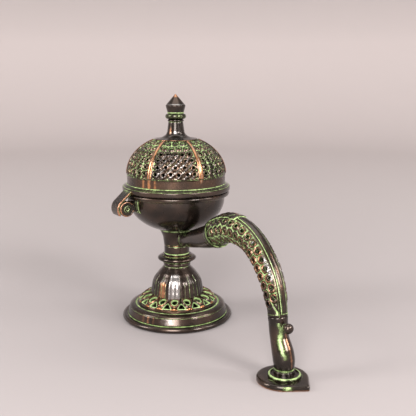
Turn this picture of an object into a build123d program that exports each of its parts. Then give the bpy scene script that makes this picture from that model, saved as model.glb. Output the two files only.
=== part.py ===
"""Standing hand censer: a footed bowl with a pierced, hinged lid and a long curved handle.

Origin: centre of the round foot, on the surface that the censer stands on.
+Z is up and +X runs along the handle. Millimetres. The lid hinge is on the -Y side.
"""
import os
from math import acos, asin, atan2, cos, degrees, hypot, radians, sin, sqrt

from build123d import *

os.makedirs("parts", exist_ok=True)

# ---------------------------------------------------------------- driving dimensions
# round foot, a spun plate hollow underneath
foot_radius = 47.0
foot_bead_height = 4.8
foot_bead_return = 1.5
foot_bead_tuck = 1.0
foot_bead_width = 4.3
foot_band_height = 10.8
foot_band_taper = 1.6
foot_shoulder_width = 6.3
foot_shoulder_bulge = 2.8
foot_shoulder_drop = 0.7
foot_height = 13.2
foot_wall = 2.2
foot_groove_inset = 1.0
foot_groove = 0.7

# pierced petal skirt that sits on the foot
skirt_inset = 1.9
skirt_width = 10.8
skirt_height = 8.2
skirt_edge = 0.8
skirt_wall = 2.0
skirt_foot_wall = 3.2
skirt_shoulder_wall = 3.4
skirt_curve = [(0.49, 0.2), (0.12, 0.614)]
petal_count = 16
upper_petal_inset = 3.6
upper_petal_hole = 1.5
lower_petal_inset = 3.1
lower_petal_hole = 1.1

# turned stem, from the skirt up to the bowl
bell_height = 27.0
bell_neck_radius = 11.4
bell_neck_height = 3.4
bell_wall = 3.0
bell_crown = 7.0
bell_shoulder = 2.8
bell_shoulder_share = 0.5
bell_belly = 0.6
bell_belly_share = 0.18
bell_hollow_share = 0.45
ring_radius = 16.4
ring_edge_radius = 12.9
ring_height = 7.0
drum_radius = 10.9
drum_height = 8.7
drum_chamfer = 0.5
collar_low_radius = 11.0
collar_top_radius = 14.5
collar_waist = 0.5
collar_height = 13.1

# the bolt that holds bowl, stem and foot together
bolt_radius = 2.5
bolt_play = 0.25
bolt_head_radius = 4.6
bolt_head_height = 2.6
bolt_head_round = 1.04
bolt_slot = 1.0
nut_flats = 8.0
nut_height = 4.0
nut_play = 0.05
washer_radius = 5.5
washer_thickness = 1.0
bolt_tail = 1.0

# bowl
bowl_radius = 40.5
bowl_depth = 28.5
bowl_wall = 2.2
bowl_lip_height = 6.2
bowl_step = 0.4
bowl_seat_radius = 9.0
bowl_seat_thickness = 2.5
rim_width = 4.0
rim_height = 3.8
rim_round = 1.2

# lid
lid_gap = 0.5
dome_step = 0.5
dome_rise = 31.8
dome_wall_height = 13.4
dome_wall = 1.8
lid_ring_width = 4.0
lid_ring_height = 3.7
lid_ledge_rise = 2.6
lid_ledge_lip = 0.5
ring_play = 0.05

# vents of the lid, in rows up each panel between the ribs
panel_count = 6
vent_radius = 1.5
vents_in_rows = [6, 5, 6, 5, 4, 3]
vent_first_row = 8.5
vent_row_step = 10.0
rib_width = 4.4

# finial
finial_plate_radius = 17.9
finial_plate_edge = 0.8
finial_skirt_height = 4.4
finial_flare = 3.4
finial_flare_share = 0.36
finial_neck_low_radius = 7.3
finial_neck_top_radius = 6.2
finial_neck_height = 11.4
finial_collar_radius = 8.6
finial_collar_height = 4.7
finial_collar_round = 1.175
bud_foot_radius = 6.7
bud_radius = 8.3
bud_wide_rise = 6.6
bud_height = 15.9
stud_radius = 1.5
stud_play = 0.15
stud_grip = 6.0
stud_tail = 0.8
cap_nut_flats = 5.5
cap_nut_height = 2.4

# lid hinge
pin_radius = 1.4
pin_seat_play = 0.02
pin_running_play = 0.06
pin_head_radius = 2.9
pin_head_height = 0.8
pin_head_round = 0.48
pin_dimple_radius = 1.1
pin_dimple_depth = 0.4
pin_beyond_ring = 3.4
pin_drop = 11.2
cheek_radius = 6.2
cheek_thickness = 3.2
cheek_neck_under = 2.6
cheek_neck_over = 4.4
cheek_root = 1.0
knuckle_width = 6.0
knuckle_radius = 4.6
knuckle_play = 0.2
strap_clearance = 0.5
strap_thickness = 1.8
strap_wrap = 35.0
strap_web_top = 60.0
strap_ring_drop = 0.7
strap_root = 2.0
strap_nose = 6.0
flange_width = 18.0
flange_thickness = 1.4
flange_height = 11.0
flange_play = 0.05
flange_arc = 50.0
bowl_clear_arc = 60.0

# handle: its centre line goes up and over from the stem and down to the leaf foot
handle_reach = 151.0
root_rise = 6.5
root_cut = 0.4
route_from_root = [(21.5, 4.8), (45.5, 12.2), (72.0, 22.6), (94.5, 20.9), (115.0, 7.5)]
route_from_foot = [(-11.0, 47.7), (-7.6, 30.4), (-5.4, 19.0), (-1.6, 10.1)]
girths = [(0.0, 5.4), (0.11, 7.6), (0.235, 9.8), (0.30, 10.9), (0.40, 10.9), (0.46, 10.0),
          (0.52, 9.2), (0.61, 8.75), (0.66, 8.7), (0.75, 7.8), (0.84, 6.75), (0.895, 6.65),
          (0.94, 7.6), (0.97, 7.7), (1.0, 7.0)]
section_step = 0.035
sleeve_start = 0.272
sleeve_end = 0.815
sleeve_wall = 2.0
root_flange_radius = 6.6
root_flange_length = 2.2
spigot_radius = 3.0
spigot_play = 0.05
spigot_length = 5.0
sleeve_hole_radius = 1.5
sleeve_hole_rows = [(48.0, 15, 0.0), (90.0, 15, 0.5), (135.0, 13, 0.0)]
sleeve_hole_margin = 0.03

# trim carried on the handle
trim_play = 0.15
spine_half_angle = 18.0
spine_thickness = 0.9
spine_start = 0.445
spine_end = 0.805
cap_half_angle = 38.0
cap_thickness = 1.2
cap_start = 0.292
cap_end = 0.44
cuff_thickness = 0.9
cuff_start = 0.262
cuff_end = 0.287
knob_radius = 3.6
knob_stem_radius = 1.7
knob_stem_length = 3.0
knob_rise = 4.6
knob_place = 0.852

# leaf-shaped foot under the handle
leaf_thickness = 4.0
leaf_radius = 18.0
leaf_tip_reach = 22.0
leaf_back_shift = 1.8
leaf_turn = 12.0
leaf_edge = 0.8
boss_shift = 2.4
boss_side = -1.5
boss_radius = 11.4
boss_height = 2.2
boss_edge = 0.7
pad_radius = 7.4
pad_height = 2.2
foot_screw_radius = 2.0
foot_screw_head_radius = 3.6
foot_screw_head_height = 1.8
foot_screw_recess = 0.3
foot_screw_grip = 8.0
foot_screw_play = 0.1

# ---------------------------------------------------------------- levels and shared places
foot_band_radius = foot_radius - foot_bead_width
foot_top_radius = foot_band_radius - foot_shoulder_width
foot_groove_radius = foot_top_radius - foot_groove_inset
skirt_radius = foot_groove_radius - skirt_inset
bell_radius = skirt_radius - skirt_width
dome_radius = bowl_radius + dome_step
lid_ring_radius = dome_radius + lid_ring_width
pin_reach = lid_ring_radius + pin_beyond_ring
bell_base = foot_height + skirt_height
ring_base = bell_base + bell_height
drum_base = ring_base + ring_height
collar_base = drum_base + drum_height
bowl_base = collar_base + collar_height
bowl_centre = bowl_base + bowl_step + bowl_depth * sqrt(1 - (collar_top_radius / bowl_radius) ** 2)
lip_top = bowl_centre + bowl_lip_height
rim_base = lip_top - rim_height
lid_base = lip_top + lid_gap
dome_centre = lid_base + dome_wall_height
dome_flat = dome_centre + dome_rise * sqrt(1 - (finial_plate_radius / dome_radius) ** 2)
neck_base = dome_flat + finial_plate_edge + finial_skirt_height
finial_collar_base = neck_base + finial_neck_height
bud_base = finial_collar_base + finial_collar_height
bolt_bore = bolt_radius + bolt_play
stud_bore = stud_radius + stud_play
hinge_y = -pin_reach
hinge_z = lid_base - pin_drop
cheek_inner = knuckle_width / 2 + knuckle_play
cheek_outer = cheek_inner + cheek_thickness
root_z = collar_base + root_rise
root_x = (collar_low_radius + (collar_top_radius - collar_low_radius) * root_rise / collar_height
          - collar_waist - root_cut)
boss_top = leaf_thickness + boss_height
handle_foot_z = boss_top + pad_height
leaf_centre = (handle_reach + boss_shift, boss_side)


def save(piece, name):
    """Label a finished piece and write it as one STEP file."""
    piece.part.label = name
    export_step(piece.part, "parts/" + name + ".step")


# ---------------------------------------------------------------- foot, skirt and stem
with BuildPart() as base_plate:
    with BuildSketch(Plane.XZ):
        with BuildLine():
            band_top = (foot_band_radius - foot_band_taper, foot_band_height)
            bead_top = (foot_radius - foot_bead_return, foot_bead_height)
            bead_foot = (foot_radius - foot_bead_tuck, 0.0)
            Polyline((bolt_bore, foot_height), (foot_groove_radius - foot_groove, foot_height),
                     (foot_groove_radius, foot_height - foot_groove),
                     (foot_groove_radius + foot_groove, foot_height), (foot_top_radius, foot_height))
            ThreePointArc((foot_top_radius, foot_height),
                          (foot_top_radius + foot_shoulder_bulge, foot_height - foot_shoulder_drop),
                          band_top)
            Polyline(band_top, (foot_band_radius, foot_bead_height), bead_top)
            ThreePointArc(bead_top, (foot_radius, foot_bead_height / 2), bead_foot)
            Polyline(bead_foot, (foot_band_radius - foot_wall, 0.0),
                     (foot_top_radius, foot_band_height - foot_wall),
                     (foot_top_radius - 2 * foot_wall, foot_height - foot_wall),
                     (bolt_bore, foot_height - foot_wall), (bolt_bore, foot_height))
        make_face()
    revolve(axis=Axis.Z)

with BuildPart() as petal_skirt:
    with BuildSketch(Plane.XZ):
        with BuildLine():
            skirt_drop = skirt_height - skirt_edge
            Line((bolt_bore, bell_base), (bell_radius, bell_base))
            Spline((bell_radius, bell_base),
                   *[(skirt_radius - across * skirt_width, bell_base - down * skirt_drop)
                     for across, down in skirt_curve],
                   (skirt_radius, foot_height + skirt_edge))
            Polyline((skirt_radius, foot_height + skirt_edge), (skirt_radius, foot_height),
                     (skirt_radius - skirt_foot_wall, foot_height),
                     (bell_radius, bell_base - skirt_shoulder_wall),
                     (bolt_bore, bell_base - skirt_wall), (bolt_bore, bell_base))
        make_face()
    revolve(axis=Axis.Z)
    with BuildSketch(Plane.XY.offset(foot_height)):
        with PolarLocations(bell_radius + upper_petal_inset, petal_count, start_angle=180.0 / petal_count):
            Circle(upper_petal_hole)
        with PolarLocations(skirt_radius - lower_petal_inset, petal_count):
            Circle(lower_petal_hole)
    extrude(amount=skirt_height, mode=Mode.SUBTRACT)

with BuildPart() as bell:
    with BuildSketch(Plane.XZ):
        with BuildLine():
            neck_foot = (bell_neck_radius, ring_base - bell_neck_height)
            Polyline((bolt_bore, ring_base), (bell_neck_radius, ring_base), neck_foot)
            Spline(neck_foot, (bell_radius - bell_shoulder, bell_base + bell_shoulder_share * bell_height),
                   (bell_radius - bell_belly, bell_base + bell_belly_share * bell_height),
                   (bell_radius, bell_base))
            Polyline((bell_radius, bell_base), (bell_radius - bell_wall, bell_base),
                     (bell_radius - bell_shoulder - bell_belly - bell_wall,
                      bell_base + bell_hollow_share * bell_height),
                     (bolt_bore + bell_wall, ring_base - bell_crown),
                     (bolt_bore, ring_base - bell_crown), (bolt_bore, ring_base))
        make_face()
    revolve(axis=Axis.Z)

with BuildPart() as stem_ring:
    with BuildSketch(Plane.XZ):
        with BuildLine():
            Polyline((ring_edge_radius, ring_base), (bolt_bore, ring_base),
                     (bolt_bore, drum_base), (ring_edge_radius, drum_base))
            ThreePointArc((ring_edge_radius, drum_base), (ring_radius, ring_base + ring_height / 2),
                          (ring_edge_radius, ring_base))
        make_face()
    revolve(axis=Axis.Z)

with BuildPart() as stem_drum:
    with BuildSketch(Plane.XY.offset(drum_base)):
        Circle(drum_radius)
        Circle(bolt_bore, mode=Mode.SUBTRACT)
    extrude(amount=drum_height)
    drum_rims = stem_drum.edges().filter_by(GeomType.CIRCLE).group_by(SortBy.RADIUS)[-1]
    chamfer(drum_rims, length=drum_chamfer)

with BuildPart() as stem_collar:
    with BuildSketch(Plane.XZ):
        with BuildLine():
            Polyline((collar_top_radius, bowl_base), (bolt_bore, bowl_base),
                     (bolt_bore, collar_base), (collar_low_radius, collar_base))
            ThreePointArc((collar_low_radius, collar_base), (root_x + root_cut, root_z),
                          (collar_top_radius, bowl_base))
        make_face()
    revolve(axis=Axis.Z)
    with BuildSketch(Plane(origin=(root_x, 0, root_z), z_dir=(1, 0, 0))):
        Circle(root_flange_radius + spigot_play)
    extrude(amount=collar_top_radius, mode=Mode.SUBTRACT)
    with BuildSketch(Plane(origin=(root_x, 0, root_z), z_dir=(-1, 0, 0))):
        Circle(spigot_radius + spigot_play)
    extrude(amount=spigot_length + spigot_play, mode=Mode.SUBTRACT)

stem_pieces = [(base_plate, "base_plate"), (petal_skirt, "petal_skirt"), (bell, "bell"),
               (stem_ring, "stem_ring"), (stem_drum, "stem_drum"), (stem_collar, "stem_collar")]
for piece, node in stem_pieces:
    save(piece, node)

# ---------------------------------------------------------------- bolt, washer and nut
plate_underside = foot_height - foot_wall
bolt_head_base = bowl_base + bowl_seat_thickness
nut_top = plate_underside - washer_thickness

with BuildPart() as tie_bolt:
    with BuildSketch(Plane.XY.offset(bolt_head_base)):
        Circle(bolt_head_radius)
    extrude(amount=bolt_head_height)
    fillet(tie_bolt.faces().sort_by(Axis.Z)[-1].edges(), radius=bolt_head_round)
    with BuildSketch(Plane.XY.offset(bolt_head_base + bolt_head_height)):
        Rectangle(3 * bolt_head_radius, bolt_slot)
    extrude(amount=-bolt_slot, mode=Mode.SUBTRACT)
    with BuildSketch(Plane.XY.offset(bolt_head_base)):
        Circle(bolt_radius)
    extrude(amount=-(bolt_head_base - nut_top + nut_height + bolt_tail))
save(tie_bolt, "tie_bolt")

with BuildPart() as tie_washer:
    with BuildSketch(Plane.XY.offset(nut_top)):
        Circle(washer_radius)
        Circle(bolt_bore, mode=Mode.SUBTRACT)
    extrude(amount=washer_thickness)
save(tie_washer, "tie_washer")

with BuildPart() as tie_nut:
    with BuildSketch(Plane.XY.offset(nut_top)):
        RegularPolygon(nut_flats / 2, 6, major_radius=False)
        Circle(bolt_radius + nut_play, mode=Mode.SUBTRACT)
    extrude(amount=-nut_height)
save(tie_nut, "tie_nut")

# ---------------------------------------------------------------- bowl and its rim
cup_radius = bowl_radius - bowl_wall
cup_depth = bowl_depth - bowl_wall

with BuildPart() as bowl:
    with BuildSketch(Plane.XZ):
        with BuildLine():
            foot_angle = degrees(acos(collar_top_radius / bowl_radius))
            seat_angle = degrees(acos(bowl_seat_radius / cup_radius))
            shell = EllipticalCenterArc((0, bowl_centre), bowl_radius, bowl_depth,
                                        start_angle=-foot_angle, arc_size=foot_angle)
            cup = EllipticalCenterArc((0, bowl_centre), cup_radius, cup_depth,
                                      start_angle=-seat_angle, arc_size=seat_angle)
            Polyline(shell @ 1, (bowl_radius, lip_top), (cup_radius, lip_top), cup @ 1)
            Polyline(cup @ 0, (bowl_seat_radius, bolt_head_base), (bolt_bore, bolt_head_base),
                     (bolt_bore, bowl_base), (collar_top_radius, bowl_base), shell @ 0)
        make_face()
    revolve(axis=Axis.Z)
save(bowl, "bowl")

with BuildPart() as bowl_rim:
    with BuildSketch(Plane.XY.offset(rim_base)):
        Circle(bowl_radius + rim_width)
        Circle(bowl_radius + ring_play, mode=Mode.SUBTRACT)
    extrude(amount=rim_height)
    rim_edges = bowl_rim.edges().filter_by(GeomType.CIRCLE).group_by(SortBy.RADIUS)[-1]
    fillet(rim_edges, radius=rim_round)
save(bowl_rim, "bowl_rim")

# ---------------------------------------------------------------- lid
dome_inner_radius = dome_radius - dome_wall
dome_inner_rise = dome_rise - dome_wall
panel_angle = 360.0 / panel_count


def vent_planes():
    """Planes square to the dome at every vent, rows staggered by their counts."""
    planes = []
    for row, count in enumerate(vents_in_rows):
        slope = radians(vent_first_row + vent_row_step * row)
        ring, rise = dome_radius * cos(slope), dome_rise * sin(slope)
        usable = panel_angle - degrees(rib_width / ring)
        for panel in range(panel_count):
            for place in range(count):
                turn = radians(panel * panel_angle + panel_angle / 2
                               + usable * ((place + 0.5) / count - 0.5))
                out = Vector(cos(slope) / dome_radius * cos(turn),
                             cos(slope) / dome_radius * sin(turn), sin(slope) / dome_rise)
                at = (ring * cos(turn), ring * sin(turn), dome_centre + rise)
                planes.append(Plane(origin=at, z_dir=out))
    return planes


with BuildPart() as lid_dome:
    with BuildSketch(Plane.XZ):
        with BuildLine():
            plate_angle = degrees(acos(finial_plate_radius / dome_radius))
            crown_angle = degrees(asin((dome_flat - dome_wall - dome_centre) / dome_inner_rise))
            outside = EllipticalCenterArc((0, dome_centre), dome_radius, dome_rise,
                                          start_angle=0, arc_size=plate_angle)
            inside = EllipticalCenterArc((0, dome_centre), dome_inner_radius, dome_inner_rise,
                                         start_angle=0, arc_size=crown_angle)
            Polyline(outside @ 1, (stud_bore, dome_flat), (stud_bore, dome_flat - dome_wall), inside @ 1)
            Polyline(outside @ 0, (dome_radius, lid_base), (dome_inner_radius, lid_base), inside @ 0)
        make_face()
    revolve(axis=Axis.Z)
    with Locations(vent_planes()):
        Cylinder(vent_radius, 4 * dome_wall, mode=Mode.SUBTRACT)
save(lid_dome, "lid_dome")

with BuildPart() as lid_ring:
    with BuildSketch(Plane.XZ):
        ring_inner = dome_radius + ring_play
        ring_top = lid_base + lid_ring_height
        with BuildLine():
            Polyline((ring_inner, lid_base), (lid_ring_radius, lid_base), (lid_ring_radius, ring_top),
                     (lid_ring_radius - lid_ledge_lip, ring_top + lid_ledge_lip),
                     (ring_inner, ring_top + lid_ledge_rise), (ring_inner, lid_base))
        make_face()
    revolve(axis=Axis.Z)
save(lid_ring, "lid_ring")

# ---------------------------------------------------------------- finial on top of the lid
with BuildPart() as finial_skirt:
    with BuildSketch(Plane.XZ):
        plate_top = dome_flat + finial_plate_edge
        with BuildLine():
            Polyline((stud_bore, dome_flat), (finial_plate_radius, dome_flat),
                     (finial_plate_radius, plate_top))
            ThreePointArc((finial_plate_radius, plate_top),
                          (finial_neck_low_radius + finial_flare,
                           plate_top + finial_flare_share * finial_skirt_height),
                          (finial_neck_low_radius, neck_base))
            Polyline((finial_neck_low_radius, neck_base), (finial_neck_top_radius, finial_collar_base),
                     (stud_bore, finial_collar_base), (stud_bore, dome_flat))
        make_face()
    revolve(axis=Axis.Z)
save(finial_skirt, "finial_skirt")

with BuildPart() as finial_collar:
    with BuildSketch(Plane.XY.offset(finial_collar_base)):
        Circle(finial_collar_radius)
        Circle(stud_bore, mode=Mode.SUBTRACT)
    extrude(amount=finial_collar_height)
    collar_rims = finial_collar.edges().filter_by(GeomType.CIRCLE).group_by(SortBy.RADIUS)[-1]
    fillet(collar_rims, radius=finial_collar_round)
save(finial_collar, "finial_collar")

with BuildPart() as finial_bud:
    with BuildSketch(Plane.XZ):
        with BuildLine():
            Polyline((0, bud_base + stud_grip), (stud_bore, bud_base + stud_grip), (stud_bore, bud_base),
                     (bud_foot_radius, bud_base), (bud_radius, bud_base + bud_wide_rise),
                     (0, bud_base + bud_height), (0, bud_base + stud_grip))
        make_face()
    revolve(axis=Axis.Z)
save(finial_bud, "finial_bud")

cap_nut_top = dome_flat - dome_wall
with BuildPart() as finial_stud:
    with BuildSketch(Plane.XY.offset(cap_nut_top - cap_nut_height - stud_tail)):
        Circle(stud_radius)
    extrude(amount=bud_base + stud_grip - stud_play - cap_nut_top + cap_nut_height + stud_tail)
save(finial_stud, "finial_stud")

with BuildPart() as finial_nut:
    with BuildSketch(Plane.XY.offset(cap_nut_top)):
        RegularPolygon(cap_nut_flats / 2, 6, major_radius=False)
        Circle(stud_radius + nut_play, mode=Mode.SUBTRACT)
    extrude(amount=-cap_nut_height)
save(finial_nut, "finial_nut")

# ---------------------------------------------------------------- lid hinge
strap_inner = cheek_radius + strap_clearance
strap_outer = strap_inner + strap_thickness


def around_pin(radius, angle):
    """A point beside the pin in the YZ plane: angle 0 is outward, 90 is up."""
    return (hinge_y - radius * cos(radians(angle)), hinge_z + radius * sin(radians(angle)))


def tangent_angle(radius, height):
    """Where a line from the lid ring, at one height, touches a circle about the pin."""
    away, up = pin_reach - lid_ring_radius, height - hinge_z
    return 90 + degrees(atan2(away, up)) - degrees(acos(radius / hypot(away, up)))


with BuildPart() as hinge_bracket:
    with BuildSketch(Plane.XZ):
        face_radius = bowl_radius + flange_play
        face_depth = bowl_depth + flange_play
        with BuildLine():
            near = EllipticalCenterArc((0, bowl_centre), face_radius, face_depth,
                                       start_angle=-flange_arc, arc_size=flange_arc)
            far = EllipticalCenterArc((0, bowl_centre), face_radius + flange_thickness,
                                      face_depth + flange_thickness,
                                      start_angle=-flange_arc, arc_size=flange_arc)
            Line(near @ 0, far @ 0)
            Polyline(near @ 1, (face_radius, rim_base - flange_play),
                     (face_radius + flange_thickness, rim_base - flange_play), far @ 1)
        make_face()
    revolve(axis=Axis.Z)
    with Locations((0, -bowl_radius, rim_base - flange_play)):
        Box(flange_width, bowl_radius, flange_height, align=(Align.CENTER, Align.CENTER, Align.MAX),
            mode=Mode.INTERSECT)
    for side in (1, -1):
        with BuildSketch(Plane.YZ.offset(side * cheek_inner)):
            with Locations((hinge_y, hinge_z)):
                Circle(cheek_radius)
            with Locations((hinge_y, hinge_z - cheek_neck_under)):
                Rectangle(pin_reach - bowl_radius + cheek_root, cheek_neck_under + cheek_neck_over,
                          align=(Align.MIN, Align.MIN))
        extrude(amount=side * cheek_thickness)
    with Locations(Plane(origin=(0, hinge_y, hinge_z), z_dir=(1, 0, 0))):
        Cylinder(pin_radius + pin_seat_play, 3 * cheek_outer, mode=Mode.SUBTRACT)
    with BuildSketch(Plane.XZ):
        with BuildLine():
            wall = EllipticalCenterArc((0, bowl_centre), face_radius, face_depth,
                                       start_angle=-bowl_clear_arc, arc_size=bowl_clear_arc)
            Polyline(wall @ 1, (face_radius, rim_base), (0, rim_base), (0, bowl_base), wall @ 0)
        make_face()
    revolve(axis=Axis.Z, mode=Mode.SUBTRACT)
save(hinge_bracket, "hinge_bracket")

with BuildPart() as hinge_pin:
    with Locations(Plane(origin=(0, hinge_y, hinge_z), z_dir=(1, 0, 0))):
        Cylinder(pin_radius, 2 * cheek_outer)
    for side in (1, -1):
        with BuildSketch(Plane(origin=(side * cheek_outer, hinge_y, hinge_z), z_dir=(side, 0, 0))):
            Circle(pin_head_radius)
        extrude(amount=pin_head_height)
        head_face = hinge_pin.faces().sort_by(Axis.X)[-1 if side > 0 else 0]
        fillet(head_face.edges(), radius=pin_head_round)
        with BuildSketch(Plane(origin=(side * (cheek_outer + pin_head_height), hinge_y, hinge_z),
                               z_dir=(-side, 0, 0))):
            Circle(pin_dimple_radius)
        extrude(amount=pin_dimple_depth, mode=Mode.SUBTRACT)
save(hinge_pin, "hinge_pin")

with BuildPart() as lid_strap:
    strap_top = lid_base + lid_ring_height - strap_ring_drop
    top_touch = tangent_angle(strap_outer, strap_top)
    low_touch = tangent_angle(strap_inner, lid_base)
    buried = strap_root - lid_ring_radius
    with BuildSketch(Plane.YZ.offset(-cheek_outer)):
        with BuildLine():
            outer_end = around_pin(strap_outer, -strap_wrap)
            inner_end = around_pin(strap_inner, -strap_wrap)
            ThreePointArc(around_pin(strap_outer, top_touch),
                          around_pin(strap_outer, (top_touch - strap_wrap) / 2), outer_end)
            ThreePointArc(outer_end, around_pin((strap_outer + strap_inner) / 2, -strap_wrap - strap_nose),
                          inner_end)
            ThreePointArc(inner_end, around_pin(strap_inner, (low_touch - strap_wrap) / 2),
                          around_pin(strap_inner, low_touch))
            Polyline(around_pin(strap_inner, low_touch), (-lid_ring_radius, lid_base),
                     (buried, lid_base), (buried, strap_top), (-lid_ring_radius, strap_top),
                     around_pin(strap_outer, top_touch))
        make_face()
    extrude(amount=2 * cheek_outer)
    with BuildSketch(Plane.YZ.offset(-knuckle_width / 2)):
        with Locations((hinge_y, hinge_z)):
            Circle(knuckle_radius)
        with BuildLine():
            web = (strap_inner + strap_outer) / 2
            Polyline((hinge_y, hinge_z), around_pin(web, -strap_wrap), around_pin(web, 0),
                     around_pin(web, strap_web_top / 2), around_pin(strap_inner, strap_web_top),
                     (hinge_y, hinge_z))
        make_face()
    extrude(amount=knuckle_width)
    with Locations(Plane(origin=(0, hinge_y, hinge_z), z_dir=(1, 0, 0))):
        Cylinder(pin_radius + pin_running_play, 3 * cheek_outer, mode=Mode.SUBTRACT)
    with Locations((0, 0, lid_base)):
        Cylinder(lid_ring_radius + ring_play, 4 * lid_ring_height, mode=Mode.SUBTRACT)
save(lid_strap, "lid_strap")

# ---------------------------------------------------------------- handle
route_points = [(root_x, 0, root_z)]
route_points += [(root_x + along, 0, root_z + up) for along, up in route_from_root]
route_points += [(handle_reach + along, 0, handle_foot_z + up) for along, up in route_from_foot]
route_points += [(handle_reach, 0, handle_foot_z)]
with BuildLine() as handle_line:
    Spline(*route_points, tangents=((1, 0, 0), (0, 0, -1)))
route = handle_line.edges()[0]


def girth(place):
    """Handle radius at one place along its route, 0 at the stem and 1 at the foot."""
    for (low, thin), (high, thick) in zip(girths, girths[1:]):
        if place <= high:
            return thin + (thick - thin) * (place - low) / (high - low)
    return girths[-1][1]


def section(place):
    """Plane square to the route: its x is +Y and its y is the outer side of the bend."""
    return Plane(origin=route.position_at(place), x_dir=(0, 1, 0), z_dir=route.tangent_at(place))


def places(start, end):
    """Evenly spaced places along the route, both ends included."""
    spans = max(2, round((end - start) / section_step))
    return [start + (end - start) * index / spans for index in range(spans + 1)]


def hole_planes():
    """Planes square to the sleeve at every hole, in rows each side of the spine."""
    planes = []
    for angle, count, shift in sleeve_hole_rows:
        first, last = sleeve_start + sleeve_hole_margin, sleeve_end - sleeve_hole_margin
        for index in range(count):
            place = first + (last - first) * (index + shift) / count
            here = section(place)
            for side in (1, -1):
                out = here.x_dir * (side * sin(radians(angle))) + here.y_dir * cos(radians(angle))
                planes.append(Plane(origin=here.origin + out * girth(place), z_dir=out))
    return planes


with BuildPart() as handle_root:
    for place in places(0.0, sleeve_start):
        with BuildSketch(section(place)):
            Circle(girth(place))
    loft()
    with BuildSketch(Plane(origin=(root_x, 0, root_z), z_dir=(1, 0, 0))):
        Circle(root_flange_radius)
    extrude(amount=root_flange_length)
    with BuildSketch(Plane(origin=(root_x, 0, root_z), z_dir=(-1, 0, 0))):
        Circle(spigot_radius)
    extrude(amount=spigot_length)
save(handle_root, "handle_root")

with BuildPart() as handle_sleeve:
    for place in places(sleeve_start, sleeve_end):
        with BuildSketch(section(place)):
            Circle(girth(place))
    loft()
    for place in places(sleeve_start, sleeve_end):
        with BuildSketch(section(place)):
            Circle(girth(place) - sleeve_wall)
    loft(mode=Mode.SUBTRACT)
    with Locations(hole_planes()):
        Cylinder(sleeve_hole_radius, 3 * sleeve_wall, mode=Mode.SUBTRACT)
save(handle_sleeve, "handle_sleeve")

knob_plane = section(knob_place)
knob_axis = Plane(origin=knob_plane.origin + knob_plane.y_dir * girth(knob_place),
                  z_dir=knob_plane.y_dir)
with BuildPart() as handle_shank:
    for place in places(sleeve_end, 1.0):
        with BuildSketch(section(place)):
            Circle(girth(place))
    loft()
    with BuildSketch(knob_axis.offset(knob_rise)):
        Circle(knob_stem_radius + trim_play)
    extrude(amount=-(knob_rise + knob_stem_length), mode=Mode.SUBTRACT)
    with Locations(knob_axis.offset(knob_rise)):
        Sphere(knob_radius + trim_play, mode=Mode.SUBTRACT)
    with BuildSketch(Plane(origin=(handle_reach, 0, handle_foot_z))):
        Circle(foot_screw_radius + foot_screw_play)
    extrude(amount=foot_screw_grip + foot_screw_play, mode=Mode.SUBTRACT)
save(handle_shank, "handle_shank")

with BuildPart() as thumb_knob:
    with BuildSketch(knob_axis.offset(knob_rise)):
        Circle(knob_stem_radius)
    extrude(amount=-(knob_rise + knob_stem_length - trim_play))
    with Locations(knob_axis.offset(knob_rise)):
        Sphere(knob_radius)
save(thumb_knob, "thumb_knob")


def trim_sketch(place, thickness, half_angle):
    """Cross-section of a strip that hugs the outer side of the handle."""
    with BuildSketch(section(place)) as strip:
        Circle(girth(place) + trim_play + thickness)
        Circle(girth(place) + trim_play, mode=Mode.SUBTRACT)
        Rectangle(2 * girth(place) * sin(radians(half_angle)), 3 * girth(place),
                  align=(Align.CENTER, Align.MIN), mode=Mode.INTERSECT)
    return strip


strips = [("spine_strip", spine_start, spine_end, spine_thickness, spine_half_angle),
          ("saddle_cap", cap_start, cap_end, cap_thickness, cap_half_angle)]
for node, start, end, thickness, half_angle in strips:
    with BuildPart() as strip_part:
        for place in places(start, end):
            add(trim_sketch(place, thickness, half_angle).sketch)
        loft()
    save(strip_part, node)

with BuildPart() as handle_cuff:
    for place in places(cuff_start, cuff_end):
        with BuildSketch(section(place)):
            Circle(girth(place) + trim_play + cuff_thickness)
    loft()
    for place in places(cuff_start, cuff_end):
        with BuildSketch(section(place)):
            Circle(girth(place) + trim_play)
    loft(mode=Mode.SUBTRACT)
save(handle_cuff, "handle_cuff")

# ---------------------------------------------------------------- leaf foot, boss and screw
leaf_frame = Plane(origin=(leaf_centre[0], leaf_centre[1], 0.0),
                   x_dir=(cos(radians(leaf_turn)), sin(radians(leaf_turn)), 0), z_dir=(0, 0, 1))
with BuildPart() as leaf_foot:
    with BuildSketch(leaf_frame):
        tip_away = leaf_tip_reach + leaf_back_shift
        touch = acos(leaf_radius / tip_away)
        touch_point = (leaf_radius * cos(touch) - leaf_back_shift, leaf_radius * sin(touch))
        with Locations((-leaf_back_shift, 0)):
            Circle(leaf_radius)
        with BuildLine():
            Polyline((-leaf_back_shift, 0), touch_point, (leaf_tip_reach, 0),
                     (touch_point[0], -touch_point[1]), (-leaf_back_shift, 0))
        make_face()
    extrude(amount=leaf_thickness)
    chamfer(leaf_foot.faces().sort_by(Axis.Z)[-1].edges(), length=leaf_edge)
    with Locations((handle_reach, 0, 0)):
        Cylinder(foot_screw_radius + foot_screw_play, 3 * leaf_thickness, mode=Mode.SUBTRACT)
        Cylinder(foot_screw_head_radius + foot_screw_play, foot_screw_recess + foot_screw_head_height,
                 align=(Align.CENTER, Align.CENTER, Align.MIN), mode=Mode.SUBTRACT)
save(leaf_foot, "leaf_foot")

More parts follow.
